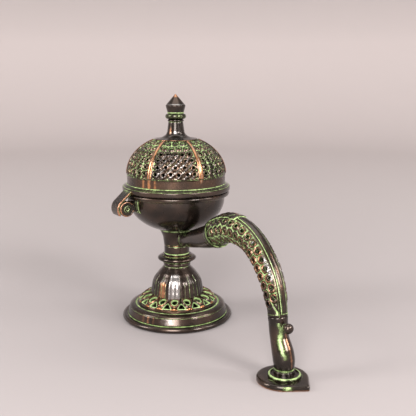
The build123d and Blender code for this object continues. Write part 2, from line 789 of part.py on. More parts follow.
with BuildPart() as foot_boss:
    with BuildSketch(Plane(origin=(leaf_centre[0], leaf_centre[1], leaf_thickness))):
        Circle(boss_radius)
    extrude(amount=boss_height)
    fillet(foot_boss.faces().sort_by(Axis.Z)[-1].edges(), radius=boss_edge)
    with BuildSketch(Plane(origin=(handle_reach, 0, boss_top))):
        Circle(pad_radius)
    extrude(amount=pad_height)
    with Locations((handle_reach, 0, boss_top)):
        Cylinder(foot_screw_radius + foot_screw_play, 6 * boss_height, mode=Mode.SUBTRACT)
save(foot_boss, "foot_boss")

with BuildPart() as foot_screw:
    with BuildSketch(Plane(origin=(handle_reach, 0, foot_screw_recess))):
        Circle(foot_screw_head_radius)
    extrude(amount=foot_screw_head_height)
    with BuildSketch(Plane(origin=(handle_reach, 0, foot_screw_recess))):
        Circle(foot_screw_radius)
    extrude(amount=handle_foot_z + foot_screw_grip - foot_screw_recess)
save(foot_screw, "foot_screw")
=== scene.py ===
from math import acos, atan2, ceil, cos, degrees, hypot, pi, radians, sin, sqrt

import bmesh
import bpy
import numpy as np
from mathutils import Matrix, Vector


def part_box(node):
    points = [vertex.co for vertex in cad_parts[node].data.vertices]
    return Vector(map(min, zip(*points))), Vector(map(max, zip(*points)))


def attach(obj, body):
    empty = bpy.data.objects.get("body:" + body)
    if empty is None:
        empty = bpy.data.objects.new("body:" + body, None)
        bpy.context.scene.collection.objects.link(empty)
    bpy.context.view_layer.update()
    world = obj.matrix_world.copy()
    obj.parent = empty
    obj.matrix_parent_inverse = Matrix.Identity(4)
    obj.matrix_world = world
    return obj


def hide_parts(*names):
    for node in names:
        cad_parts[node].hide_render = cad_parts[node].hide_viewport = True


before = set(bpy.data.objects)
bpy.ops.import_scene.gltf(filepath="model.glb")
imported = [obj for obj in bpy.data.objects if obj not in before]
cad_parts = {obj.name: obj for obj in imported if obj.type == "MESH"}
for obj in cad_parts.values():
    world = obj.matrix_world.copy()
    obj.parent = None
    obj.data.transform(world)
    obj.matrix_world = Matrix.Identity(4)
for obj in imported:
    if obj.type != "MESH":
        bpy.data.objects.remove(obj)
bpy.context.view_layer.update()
scene = bpy.context.scene
scene.view_settings.view_transform = "Standard"
mm = 0.001
print("frame loaded:", len(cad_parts), "CAD pieces")


# nodes, for materials and for geometry trees alike
def add(tree, kind, inputs=None, **settings):
    node = tree.nodes.new(kind)
    for key, value in settings.items():
        setattr(node, key, value)
    for key, value in (inputs or {}).items():
        if isinstance(value, bpy.types.NodeSocket):
            tree.links.new(value, node.inputs[key])
        else:
            node.inputs[key].default_value = value
    return node


def calc(tree, operation, first, second=0.0, third=0.0):
    inputs = {0: first, 1: second}
    if operation == "MULTIPLY_ADD":
        inputs[2] = third
    return add(tree, "ShaderNodeMath", inputs, operation=operation).outputs[0]


# camera, stage and lights; places are given as seen: right, away from the camera, up
view = {
    "lens": 59.35,
    "at": (0.02664, -0.56915, 0.20768),
    "tilt": 11.217,
    "turn": 58.5,
}
frontAt = -30.0  # the side that faces the camera, in degrees from +X, anticlockwise from above
seamGap = 4e-6  # points nearer than this, in metres, become one where wrapped sheets meet


def seen(right, away, up):
    return Matrix.Rotation(radians(view["turn"]), 3, "Z") @ Vector((right, away, up))


def setCamera():
    camera = bpy.data.objects.new("camera", bpy.data.cameras.new("camera"))
    camera.data.lens = view["lens"]
    camera.data.clip_start = 0.01
    camera.location = seen(*view["at"])
    camera.rotation_euler = (radians(90 - view["tilt"]), 0, radians(view["turn"]))
    scene.collection.objects.link(camera)
    scene.camera = camera


softboxes = {
    "keyBox": {"at": (0.95, -0.95, 0.78), "aim": (0.0, 0.0, 0.08), "size": (0.4, 0.4), "watts": 17},
    "frontBox": {"at": (-0.15, -1.15, 0.62), "aim": (0.0, 0.0, 0.08), "size": (0.5, 1.0),
                 "watts": 24},
    "leftBox": {"at": (-1.2, -0.35, 0.75), "aim": (0.0, 0.0, 0.1), "size": (0.4, 0.8), "watts": 12},
    "rightStrip": {"at": (1.2, -0.25, 0.8), "aim": (0.0, 0.0, 0.1), "size": (0.22, 0.8),
                   "watts": 6},
    "topBox": {"at": (0.0, 0.2, 1.5), "aim": (0.0, 0.0, 0.0), "size": (1.3, 1.3), "watts": 10},
}
# the sweep is painted darker near the object, lighter towards the wall and darker again high behind
# it: painted shade and painted light in place of how the lamps fall on it
paper = {
    "floor": 1.3, "bend": 0.8, "wall": 1.9, "turnsAt": (0.02, 1.9), "backAt": (1.95, 2.2),
    "sky": 0.42,
    "near": (0.258, 0.235, 0.236, 1), "far": (0.69, 0.625, 0.615, 1),
    "back": (0.475, 0.44, 0.435, 1),
}


def setStage():
    bend = [(paper["floor"] + paper["bend"] * sin(turn), paper["bend"] * (1 - cos(turn)))
            for turn in np.linspace(0, pi / 2, 12)]
    line = [(0.0, 0.0)] + bend + [(paper["floor"] + paper["bend"], paper["wall"])]
    sides, rings = 96, len(line)
    points = [(out * cos(2 * pi * k / sides), out * sin(2 * pi * k / sides), up)
              for k in range(sides) for out, up in line]
    faces = [(k * rings + j, (k + 1) % sides * rings + j,
              (k + 1) % sides * rings + j + 1, k * rings + j + 1)
             for k in range(sides) for j in range(rings - 1)]
    mesh = bpy.data.meshes.new("paper")
    mesh.from_pydata(points, [], faces)
    work = bmesh.new()
    work.from_mesh(mesh)
    bmesh.ops.remove_doubles(work, verts=work.verts, dist=1e-5)
    work.to_mesh(mesh)
    work.free()
    mesh.shade_smooth()
    stage = bpy.data.objects.new("paper", mesh)
    scene.collection.objects.link(stage)
    material = bpy.data.materials.new("paperSweep")
    material.use_nodes = True
    tree = material.node_tree
    shader = tree.nodes["Principled BSDF"]
    where = add(tree, "ShaderNodeTexCoord").outputs["Object"]
    away = add(tree, "ShaderNodeVectorMath", {0: where}, operation="LENGTH").outputs["Value"]
    share = add(tree, "ShaderNodeMapRange",
                {0: away, 1: paper["turnsAt"][0], 2: paper["turnsAt"][1]}).outputs[0]
    tone = add(tree, "ShaderNodeMix", {0: share, 6: paper["near"], 7: paper["far"]},
               data_type="RGBA").outputs[2]
    share = add(tree, "ShaderNodeMapRange",
                {0: away, 1: paper["backAt"][0], 2: paper["backAt"][1]}).outputs[0]
    tone = add(tree, "ShaderNodeMix", {0: share, 6: tone, 7: paper["back"]},
               data_type="RGBA").outputs[2]
    tree.links.new(tone, shader.inputs["Base Color"])
    shader.inputs["Roughness"].default_value = 0.92
    mesh.materials.append(material)
    world = bpy.data.worlds.new("studio")
    world.use_nodes = True
    world.node_tree.nodes["Background"].inputs["Color"].default_value = (1.0, 0.96, 0.94, 1)
    world.node_tree.nodes["Background"].inputs["Strength"].default_value = paper["sky"]
    scene.world = world


def setLights():
    for name, box in softboxes.items():
        lamp = bpy.data.lights.new(name, "AREA")
        lamp.shape = "RECTANGLE"
        lamp.size, lamp.size_y = box["size"]
        lamp.energy = box["watts"]
        lamp.color = (1.0, 0.97, 0.95)
        light = bpy.data.objects.new(name, lamp)
        light.location = seen(*box["at"])
        aim = seen(*box["aim"]) - light.location
        light.rotation_euler = aim.to_track_quat("-Z", "Y").to_euler()
        scene.collection.objects.link(light)


setCamera()
setStage()
setLights()
print("camera, stage and lights set")

# finishes: dark patina, worn to copper on the edges and green in the hollows; the copper layer also
# carries painted reflections, and a silvery layer carries painted highlights
agedBronze = {
    "dark": (0.030, 0.024, 0.020), "brown": (0.070, 0.046, 0.034), "copper": (0.54, 0.255, 0.125),
    "green": (0.15, 0.235, 0.08), "pale": (0.40, 0.54, 0.22), "stain": (0.060, 0.075, 0.028),
    "gloss": 0.24, "copperWearAndGlint": (0.40, 1.0, 0.8), "growth": (0.50, 0.86), "ragged": 0.75,
    "drift": 0.45, "coat": 0.35,
}
patinas = {
    "darkPatina": agedBronze,
    "piercedPatina": {
        "dark": (0.034, 0.025, 0.020), "brown": (0.095, 0.055, 0.034),
        "copper": (0.56, 0.255, 0.105),
        "green": (0.14, 0.225, 0.075), "pale": (0.38, 0.52, 0.21), "stain": (0.065, 0.08, 0.03),
        "gloss": 0.26, "copperWearAndGlint": (0.38, 1.0, 0.85), "growth": (0.48, 0.88), "ragged": 0.8,
        "drift": 0.5, "coat": 0.3,
    },
    "handlePatina": {**agedBronze, "brown": (0.072, 0.047, 0.034), "copperWearAndGlint": (0.40, 1.0, 0.85),
                     "growth": (0.48, 0.86)},
    "hingePatina": {
        **agedBronze, "dark": (0.040, 0.036, 0.032), "brown": (0.080, 0.062, 0.048),
        "copper": (0.68, 0.33, 0.18), "stain": (0.065, 0.08, 0.03), "gloss": 0.27,
        "copperWearAndGlint": (0.36, 0.95, 0.85), "growth": (0.46, 0.84), "ragged": 0.7, "drift": 0.4,
        "coat": 0.3,
    },
    "fastenerBrass": {
        "dark": (0.30, 0.19, 0.07), "brown": (0.42, 0.28, 0.10), "copper": (0.80, 0.58, 0.25),
        "green": (0.20, 0.32, 0.10), "pale": (0.42, 0.56, 0.22), "stain": (0.12, 0.10, 0.04),
        "gloss": 0.34, "copperWearAndGlint": (0.30, 0.9, 0.8), "growth": (0.45, 0.80), "ragged": 0.5,
        "drift": 0.5, "coat": 0.0,
    },
}


def patina(name, look):
    material = bpy.data.materials.new(name)
    material.use_nodes = True
    tree = material.node_tree
    tree.nodes.clear()
    where = add(tree, "ShaderNodeTexCoord").outputs["Object"]

    def noise(scale, detail, rough):
        return add(tree, "ShaderNodeTexNoise", {"Vector": where, "Scale": scale, "Detail": detail,
                                                "Roughness": rough}).outputs["Fac"]

    def ease(value, low, high, start=0.0, end=1.0):
        return add(tree, "ShaderNodeMapRange", {0: value, 1: low, 2: high, 3: start, 4: end},
                   interpolation_type="SMOOTHSTEP").outputs[0]

    def blend(amount, first, second):
        inputs = {0: amount, 6: first, 7: second}
        return add(tree, "ShaderNodeMix", inputs, data_type="RGBA").outputs[2]

    def level(amount, first, second):
        return add(tree, "ShaderNodeMix", {0: amount, 2: first, 3: second}).outputs[0]

    broad, fine, grit = noise(45, 3, 0.55), noise(300, 5, 0.66), noise(1700, 3, 0.6)
    hollow = add(tree, "ShaderNodeAttribute", attribute_name="hollow").outputs["Fac"]
    edge = add(tree, "ShaderNodeAttribute", attribute_name="edge").outputs["Fac"]
    polish = add(tree, "ShaderNodeAttribute", attribute_name="polish").outputs["Fac"]
    breakUp = calc(tree, "MULTIPLY_ADD", fine, look["ragged"], -0.5 * look["ragged"])
    cloud = calc(tree, "MULTIPLY_ADD", broad, look["drift"], -0.5 * look["drift"])
    uneven = calc(tree, "ADD", breakUp, cloud)
    filled = calc(tree, "ADD", hollow, uneven)
    growth = ease(filled, *look["growth"])
    stain = ease(filled, look["growth"][0] - 0.2, look["growth"][0] + 0.12)
    wearFrom, wearTo, wearMost = look["copperWearAndGlint"]
    # copper where the edge layer is high: real edge wear, and also painted reflections set on some
    # pieces
    copperWearAndGlint = ease(calc(tree, "ADD", edge, uneven), wearFrom, wearTo, 0.0, wearMost)
    skin = blend(ease(broad, 0.35, 0.68), (*look["dark"], 1), (*look["brown"], 1))
    skin = blend(copperWearAndGlint, skin, (*look["copper"], 1))
    # painted highlight: silvery grey stands in for the lamps' reflection where the highlight layer
    # is set
    skin = blend(ease(calc(tree, "ADD", polish, uneven), 0.35, 0.9), skin, (0.27, 0.252, 0.243, 1))
    skin = blend(stain, skin, (*look["stain"], 1))
    crust = blend(ease(calc(tree, "MULTIPLY_ADD", fine, 0.6, calc(tree, "MULTIPLY", grit, 0.4)),
                       0.38, 0.62),
                  (*look["green"], 1), (*look["pale"], 1))
    colour = blend(growth, skin, crust)
    metal = calc(tree, "MULTIPLY_ADD", growth, -0.8, 0.9)
    smooth = calc(tree, "MULTIPLY_ADD", fine, 0.26, look["gloss"] - 0.13)
    rough = level(growth, smooth, 0.55)
    height = calc(tree, "MULTIPLY_ADD", growth, 0.5, calc(tree, "MULTIPLY", fine, 0.5))
    height = calc(tree, "ADD", height,
                  calc(tree, "MULTIPLY", calc(tree, "MULTIPLY", grit, growth), 0.6))
    bump = add(tree, "ShaderNodeBump", {"Height": height, "Strength": 0.45, "Distance": 0.00018})
    shader = add(tree, "ShaderNodeBsdfPrincipled",
                 {"Base Color": colour, "Metallic": metal, "Roughness": rough,
                  "Normal": bump.outputs["Normal"], "Coat Weight": look["coat"],
                  "Coat Roughness": 0.16})
    out = add(tree, "ShaderNodeOutputMaterial")
    tree.links.new(shader.outputs[0], out.inputs[0])
    return material


finishes = {name: patina(name, look) for name, look in patinas.items()}
slotFinish = {"dark_patina": "darkPatina", "pierced_patina": "piercedPatina",
              "handle_patina": "handlePatina",
              "hinge_patina": "hingePatina"}
print("finishes mixed")


# outlines and meshes, in millimetres
def arc(centre, across, up, start, end, count=12):
    return [(centre[0] + across * cos(radians(turn)), centre[1] + up * sin(radians(turn)), 0)
            for turn in np.linspace(start, end, count)]


def rounded(corners, step=1.2):
    # (across, up, rounding) corners of a closed outline become a dense loop of points
    points = []
    for index, (across, up, soft) in enumerate(corners):
        here = np.array((across, up), float)
        if not soft:
            points.append(here)
            continue
        back = np.array(corners[index - 1][:2]) - here
        on = np.array(corners[(index + 1) % len(corners)][:2]) - here
        cut = min(soft, 0.45 * hypot(*back), 0.45 * hypot(*on))
        first, last = here + back / hypot(*back) * cut, here + on / hypot(*on) * cut
        for share in (0, 0.25, 0.5, 0.75, 1):
            points.append((1 - share) ** 2 * first + 2 * share * (1 - share) * here
                          + share ** 2 * last)
    loop = []
    for point, after in zip(points, points[1:] + points[:1]):
        onAxis = abs(point[0]) < 1e-6 and abs(after[0]) < 1e-6
        spans = 1 if onAxis else max(1, ceil(hypot(*(after - point)) / step))
        loop += [point + (after - point) * k / spans for k in range(spans)]
    return loop


def newPiece(name, points, faces):
    mesh = bpy.data.meshes.new(name)
    mesh.from_pydata([tuple(point) for point in np.asarray(points, float) * mm], [], faces)
    piece = bpy.data.objects.new(name, mesh)
    scene.collection.objects.link(piece)
    return piece


def closeUp(piece, gap=0.003):
    work = bmesh.new()
    work.from_mesh(piece.data)
    bmesh.ops.remove_doubles(work, verts=work.verts, dist=gap * mm)
    bmesh.ops.recalc_face_normals(work, faces=work.faces)
    work.to_mesh(piece.data)
    work.free()
    return piece


def ringFaces(count, around, closed):
    # faces between rings of points, the last ring joined to the first if closed
    return [(k * around + j, k * around + (j + 1) % around,
             (k + 1) % count * around + (j + 1) % around, (k + 1) % count * around + j)
            for k in range(count if closed else count - 1) for j in range(around)]


def tube(name, rings):
    # rings of points, each joined to the next, with a flat cap at both ends
    rings = np.asarray(rings, float)
    count, around = rings.shape[:2]
    faces = ringFaces(count, around, False)
    faces.append(tuple(range(around))[::-1])
    faces.append(tuple(range((count - 1) * around, count * around)))
    return closeUp(newPiece(name, rings.reshape(-1, 3), faces))


def lathe(name, outline, sides=144, centre=(0.0, 0.0)):
    # an outline that starts and ends on the axis needs no faces between its ends
    turn = np.arange(sides) * 2 * pi / sides
    rings = np.array([np.c_[centre[0] + out * np.cos(turn), centre[1] + out * np.sin(turn),
                            np.full(sides, up)] for out, up in outline])
    onAxis = abs(outline[0][0]) < 1e-6 and abs(outline[-1][0]) < 1e-6
    faces = ringFaces(len(rings), sides, not onAxis)
    return closeUp(newPiece(name, rings.reshape(-1, 3), faces))


def joined(name, pieces):
    work = bmesh.new()
    for piece in pieces:
        work.from_mesh(piece.data)
        bpy.data.objects.remove(piece)
    mesh = bpy.data.meshes.new(name)
    work.to_mesh(mesh)
    work.free()
    whole = bpy.data.objects.new(name, mesh)
    scene.collection.objects.link(whole)
    return whole


def pointsOf(piece, field="co"):
    values = np.empty(len(piece.data.vertices) * 3)
    piece.data.vertices.foreach_get(field, values)
    return values.reshape(-1, 3)


def layer(piece, name):
    found = piece.data.attributes.get(name)
    return found or piece.data.attributes.new(name, "FLOAT", "POINT")


def paint(piece, name, amount):
    # the larger of what a layer holds and the new amount, given point by point
    held = layer(piece, name)
    values = np.zeros(len(piece.data.vertices))
    held.data.foreach_get("value", values)
    held.data.foreach_set("value", np.maximum(values, amount).astype(np.float32))


def dampen(piece, name, share):
    held = layer(piece, name)
    values = np.zeros(len(piece.data.vertices))
    held.data.foreach_get("value", values)
    held.data.foreach_set("value", (values * share).astype(np.float32))


def weather(piece, edgeGain=0.55, hollowGain=0.6, passes=3):
    # edges wear and hollows fill, by how the surface bends at each point
    at, out = pointsOf(piece) / mm, pointsOf(piece, "normal")
    ends = np.empty(len(piece.data.edges) * 2, int)
    piece.data.edges.foreach_get("vertices", ends)
    one, two = ends.reshape(-1, 2).T
    along = at[two] - at[one]
    bend = ((out[two] - out[one]) * along).sum(1) / np.maximum((along ** 2).sum(1), 0.01)
    tally = np.bincount(one, minlength=len(at)) + np.bincount(two, minlength=len(at))
    tally = np.maximum(tally, 1)
    curve = (np.bincount(one, bend, len(at)) + np.bincount(two, bend, len(at))) / tally
    for _ in range(passes):
        around = (np.bincount(one, curve[two], len(at))
                  + np.bincount(two, curve[one], len(at))) / tally
        curve = 0.5 * curve + 0.5 * around
    paint(piece, "edge", np.clip(curve * edgeGain, 0, 1))
    paint(piece, "hollow", np.clip(-curve * hollowGain, 0, 1))
    return piece


def bump(value, centre, width):
    return np.exp(-((value - centre) / width) ** 2)


def smoothStep(value, low, high):
    share = np.clip((value - low) / (high - low), 0, 1)
    return share * share * (3 - 2 * share)


def fallOff(value, low, high):
    return 1 - smoothStep(value, low, high)


def settle(piece, body, slot, *nodes):
    piece.data.materials.clear()
    piece.data.materials.append(finishes[slotFinish[slot]])
    piece.data.shade_smooth()
    piece.data.set_sharp_from_angle(angle=radians(42))
    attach(piece, body)
    if nodes:
        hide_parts(*nodes)


def sizes(node):
    # radius, foot and top of a round piece on the stem's axis
    low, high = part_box(node)
    return -low.x / mm, low.z / mm, high.z / mm


def roundPlaces(piece):
    at = pointsOf(piece) / mm
    return np.hypot(at[:, 0], at[:, 1]), at[:, 2]


def bearing(at, centre=(0.0, 0.0)):
    return np.degrees(np.arctan2(at[:, 1] - centre[1], at[:, 0] - centre[0]))


def turnPiece(name, corners, step, sides=144, marks=()):
    # a mark is a layer, an amount, a height, a width, and the radius it stays outside
    piece = weather(lathe(name, rounded(corners, step), sides))
    out, up = roundPlaces(piece)
    for kind, amount, height, width, beyond in marks:
        paint(piece, kind, amount * bump(up, height, width) * (out > beyond))
    return piece


# flat sheets with relief and openings, wrapped round a profile or along the handle
def measured(points):
    line = np.array(points, float)
    run = np.r_[0, np.cumsum(np.hypot(*np.diff(line, axis=0).T))]
    return {"line": line, "run": run, "length": run[-1]}


def smoothLine(points, count):
    # Catmull-Rom through the points, evenly spaced
    spots = [2 * np.array(points[0]) - np.array(points[1])] + [np.array(p, float) for p in points]
    spots.append(2 * spots[-1] - spots[-2])
    dense = []
    for k in range(1, len(spots) - 2):
        a, b, c, d = spots[k - 1:k + 3]
        for share in np.linspace(0, 1, 30, endpoint=False):
            dense.append(0.5 * (2 * b + (c - a) * share + (2 * a - 5 * b + 4 * c - d) * share ** 2
                                + (3 * b - a - 3 * c + d) * share ** 3))
    dense.append(spots[-2])
    path = measured(dense)
    even = np.linspace(0, path["length"], count + 1)
    return [tuple(np.interp(even, path["run"], path["line"][:, axis])[k] for axis in (0, 1))
            for k in range(count + 1)]


def sheet(name, across, up, pattern, opening=None):
    # pattern gives lift in mm, hollow and edge; faces are cut where opening is below zero
    gridX, gridY = np.meshgrid(across, up, indexing="ij")
    kept = opening(gridX, gridY) if opening else np.ones_like(gridX)
    spots, index, faces = [], {}, []

    def corner(spot):
        if spot not in index:
            index[spot] = len(spots)
            spots.append((gridX[spot], gridY[spot]))
        return index[spot]

    def crossing(one, two):
        key = (min(one, two), max(one, two))
        if key not in index:
            one, two = key
            share = kept[one] / (kept[one] - kept[two])
            share = min(max(share, 0.04), 0.96)
            index[key] = len(spots)
            spots.append((gridX[one] + (gridX[two] - gridX[one]) * share,
                          gridY[one] + (gridY[two] - gridY[one]) * share))
        return index[key]

    for i in range(len(across) - 1):
        for j in range(len(up) - 1):
            ring = [(i, j), (i + 1, j), (i + 1, j + 1), (i, j + 1)]
            face = []
            for spot, after in zip(ring, ring[1:] + ring[:1]):
                if kept[spot] > 0:
                    face.append(corner(spot))
                if (kept[spot] > 0) != (kept[after] > 0):
                    face.append(crossing(spot, after))
            if len(face) > 2:
                faces.append(face)
    flat = np.array(spots)
    lift, hollow, edge = pattern(flat[:, 0], flat[:, 1])
    mesh = bpy.data.meshes.new(name)
    mesh.from_pydata([tuple(point) for point in np.c_[flat, lift * mm]], [], faces)
    piece = bpy.data.objects.new(name, mesh)
    scene.collection.objects.link(piece)
    layer(piece, "hollow").data.foreach_set("value", np.clip(hollow, 0, 1).astype(np.float32))
    layer(piece, "edge").data.foreach_set("value", np.clip(edge, 0, 1).astype(np.float32))
    return piece


def guideCurve(name, points, radii=None):
    curve = bpy.data.curves.new(name, "CURVE")
    curve.dimensions = "3D"
    spline = curve.splines.new("POLY")
    spline.points.add(len(points) - 1)
    for spot, point in zip(spline.points, points):
        spot.co = (*[value * mm for value in point], 1)
    if radii is not None:
        spline.points.foreach_set("radius", np.asarray(radii, np.float32) * mm)
    guide = bpy.data.objects.new(name, curve)
    scene.collection.objects.link(guide)
    return guide


def newTree(name, inputs):
    tree = bpy.data.node_groups.new(name, "GeometryNodeTree")
    tree.interface.new_socket("Geometry", in_out="OUTPUT", socket_type="NodeSocketGeometry")
    tree.interface.new_socket("Geometry", in_out="INPUT", socket_type="NodeSocketGeometry")
    for label, kind in inputs.items():
        tree.interface.new_socket(label, in_out="INPUT", socket_type="NodeSocket" + kind)
    return tree, add(tree, "NodeGroupInput").outputs


def endTree(tree, geometry, material):
    real = add(tree, "GeometryNodeRealizeInstances", {"Geometry": geometry}).outputs[0]
    done = add(tree, "GeometryNodeSetMaterial", {"Geometry": real, "Material": material}).outputs[0]
    out = add(tree, "NodeGroupOutput")
    tree.links.new(done, out.inputs[0])


def roundTree():
    # copies of the sheet side by side, each x a share of a turn, each y a share of the profile
    tree, given = newTree("wrapRound", {"Profile": "Object", "Copies": "Int", "Finish": "Material"})
    pitch = calc(tree, "DIVIDE", 1.0, given["Copies"])
    offset = add(tree, "ShaderNodeCombineXYZ", {0: pitch}).outputs[0]
    line = add(tree, "GeometryNodeMeshLine",
               {"Count": given["Copies"], "Offset": offset}).outputs[0]
    copies = add(tree, "GeometryNodeInstanceOnPoints",
                 {"Points": line, "Instance": given["Geometry"]}).outputs[0]
    real = add(tree, "GeometryNodeRealizeInstances", {"Geometry": copies}).outputs[0]
    flat = add(tree, "ShaderNodeSeparateXYZ",
               {0: add(tree, "GeometryNodeInputPosition").outputs[0]}).outputs
    guide = add(tree, "GeometryNodeObjectInfo", {"Object": given["Profile"]}).outputs["Geometry"]
    sample = add(tree, "GeometryNodeSampleCurve", {"Curves": guide, "Factor": flat[1]},
                 mode="FACTOR")
    place = add(tree, "ShaderNodeSeparateXYZ", {0: sample.outputs["Position"]}).outputs
    slope = add(tree, "ShaderNodeSeparateXYZ", {0: sample.outputs["Tangent"]}).outputs
    out = calc(tree, "MULTIPLY_ADD", slope[2], flat[2], place[0])
    drop = calc(tree, "MULTIPLY", slope[0], flat[2])
    up = calc(tree, "SUBTRACT", place[2], drop)
    spot = add(tree, "ShaderNodeCombineXYZ", {0: out, 2: up}).outputs[0]
    turn = calc(tree, "MULTIPLY", flat[0], 2 * pi)
    turned = add(tree, "ShaderNodeVectorRotate", {"Vector": spot, "Angle": turn},
                 rotation_type="Z_AXIS").outputs[0]
    moved = add(tree, "GeometryNodeSetPosition", {"Geometry": real, "Position": turned}).outputs[0]
    merged = add(tree, "GeometryNodeMergeByDistance",
                 {"Geometry": moved, "Distance": seamGap}).outputs[0]
    endTree(tree, merged, given["Finish"])
    return tree


def routeTree():
    # the sheet bent along the handle: x a share of the route, y the angle from its outer side
    tree, given = newTree("wrapRoute", {"Route": "Object", "Finish": "Material"})
    flat = add(tree, "ShaderNodeSeparateXYZ",
               {0: add(tree, "GeometryNodeInputPosition").outputs[0]}).outputs
    guide = add(tree, "GeometryNodeObjectInfo", {"Object": given["Route"]}).outputs["Geometry"]
    girth = add(tree, "GeometryNodeInputRadius").outputs[0]
    sample = add(tree, "GeometryNodeSampleCurve",
                 {"Curves": guide, "Factor": flat[0], "Value": girth},
                 mode="FACTOR")
    side = (0.0, 1.0, 0.0)
    outer = add(tree, "ShaderNodeVectorMath", {0: sample.outputs["Tangent"], 1: side},
                operation="CROSS_PRODUCT").outputs[0]
    reach = calc(tree, "ADD", sample.outputs["Value"], flat[2])
    outward = calc(tree, "MULTIPLY", reach, calc(tree, "COSINE", flat[1]))
    sideways = calc(tree, "MULTIPLY", reach, calc(tree, "SINE", flat[1]))
    moveOut = add(tree, "ShaderNodeVectorMath", {0: outer, "Scale": outward},
                  operation="SCALE").outputs[0]
    moveSide = add(tree, "ShaderNodeVectorMath", {0: side, "Scale": sideways},
                   operation="SCALE").outputs[0]
    moves = add(tree, "ShaderNodeVectorMath", {0: moveOut, 1: moveSide}, operation="ADD").outputs[0]
    spot = add(tree, "ShaderNodeVectorMath", {0: moves, 1: sample.outputs["Position"]},
               operation="ADD").outputs[0]
    moved = add(tree, "GeometryNodeSetPosition",
                {"Geometry": given["Geometry"], "Position": spot}).outputs[0]
    merged = add(tree, "GeometryNodeMergeByDistance",
                 {"Geometry": moved, "Distance": seamGap}).outputs[0]
    endTree(tree, merged, given["Finish"])
    return tree


def runTree(piece, tree, values, wall=0.0):
    modifier = piece.modifiers.new("wrap", "NODES")
    modifier.node_group = tree
    sockets = {item.name: item.identifier for item in tree.interface.items_tree
               if item.in_out == "INPUT"}
    for label, value in values.items():
        modifier[sockets[label]] = value
    if wall:
        solid = piece.modifiers.new("wall", "SOLIDIFY")
        solid.thickness = wall * mm
        solid.offset = -1
    bpy.context.view_layer.update()
    shown = piece.evaluated_get(bpy.context.evaluated_depsgraph_get())
    mesh = bpy.data.meshes.new_from_object(shown)
    name = piece.name
    bpy.data.objects.remove(piece)
    mesh.name = name
    done = bpy.data.objects.new(name, mesh)
    scene.collection.objects.link(done)
    return done


wrapRound, wrapRoute = roundTree(), routeTree()


def turnedSheet(name, outline, copies, pattern, opening, fine, slot, wall):
    # outline runs from its foot up; x of the pattern is a share of a turn, y is mm along it
    guide = guideCurve(name + "Guide", [(out, 0, up) for out, up in outline["line"]])
    across = np.linspace(0, 1 / copies, fine[0] + 1)
    up = np.linspace(0, 1, fine[1] + 1)
    far = outline["length"]
    flat = sheet(name, across, up, lambda x, y: pattern(x, y * far),
                 (lambda x, y: opening(x, y * far)) if opening else None)
    values = {"Profile": guide, "Copies": copies, "Finish": finishes[slotFinish[slot]]}
    piece = runTree(flat, wrapRound, values, wall)
    bpy.data.objects.remove(guide)
    return piece


# foot
footPlate = {
    "groove": 35.4, "grooveHalf": 0.8, "shoulder": 36.4, "bandTop": (41.1, 10.8),
    "bandFoot": (42.6, 5.3),
    "bead": 2.8, "beadHeight": 4.8, "wall": 2.2, "bore": 2.75, "inset": 0.01,
}


def makeFootPlate():
    radius, foot, top = sizes("base_plate")
    radius -= footPlate["inset"]  # a round mesh inside the CAD box on every side
    groove, half = footPlate["groove"], footPlate["grooveHalf"]
    bandTop, bandFoot, wall = footPlate["bandTop"], footPlate["bandFoot"], footPlate["wall"]
    beadMid = foot + footPlate["beadHeight"] / 2
    corners = [(footPlate["bore"], top, 0), (groove - half, top, 0.3), (groove, top - 0.9, 0.4),
               (groove + half, top, 0.3)]
    corners += arc((footPlate["shoulder"], bandTop[1] - 0.3), bandTop[0] - footPlate["shoulder"]
                   - 0.1,
                   top - bandTop[1] + 0.3, 90, 12, 12)
    corners += [(bandTop[0] - 0.45, bandTop[1] - 0.1, 0.2), (bandTop[0], bandTop[1] - 0.5, 0.3),
                (bandFoot[0], bandFoot[1], 0.4), (bandFoot[0] - 0.5, bandFoot[1] - 0.75, 0.35),
                (bandFoot[0] + 0.5, bandFoot[1] - 0.8, 0.3)]
    corners += arc((radius - footPlate["bead"], beadMid), footPlate["bead"],
                   footPlate["beadHeight"] / 2,
                   75, -62, 14)
    corners += [(radius - 2.4, foot, 0.3), (radius - 5.0, foot, 0.4),
                (bandTop[0] - 1.8 * wall, bandTop[1] - wall, 1.0),
                (footPlate["bore"], top - wall, 0)]
    piece = weather(lathe("footPlate", rounded(corners, 0.9)))
    out, up = roundPlaces(piece)
    paint(piece, "hollow", 1.0 * bump(out, groove, 0.95) * (up > top - 1.5))
    paint(piece, "hollow", 0.72 * bump(np.hypot(out - bandFoot[0], up - bandFoot[1] + 0.7), 0, 0.6))
    paint(piece, "hollow",
          0.38 * bump(np.hypot(out - bandTop[0] + 1.0, up - bandTop[1] - 0.9), 0, 0.9))
    at = pointsOf(piece) / mm
    turned = bearing(at) - frontAt
    onBand = (up > bandFoot[1]) * (up < bandTop[1]) * (out > footPlate["shoulder"])
    # painted reflection: coppery stripes on the band's left side
    paint(piece, "edge",
          0.85 * bump(turned, -34, 16) * onBand * (0.6 + 0.4 * np.sin(np.radians(turned) * 50)))
    # painted highlight on the front of the band
    paint(piece, "polish", 0.5 * bump(turned, -10, 13) * onBand)
    settle(piece, "stand", "dark_patina", "base_plate")


footDots = {"count": 132, "ring": 39.9, "height": 11.75, "size": 0.36}


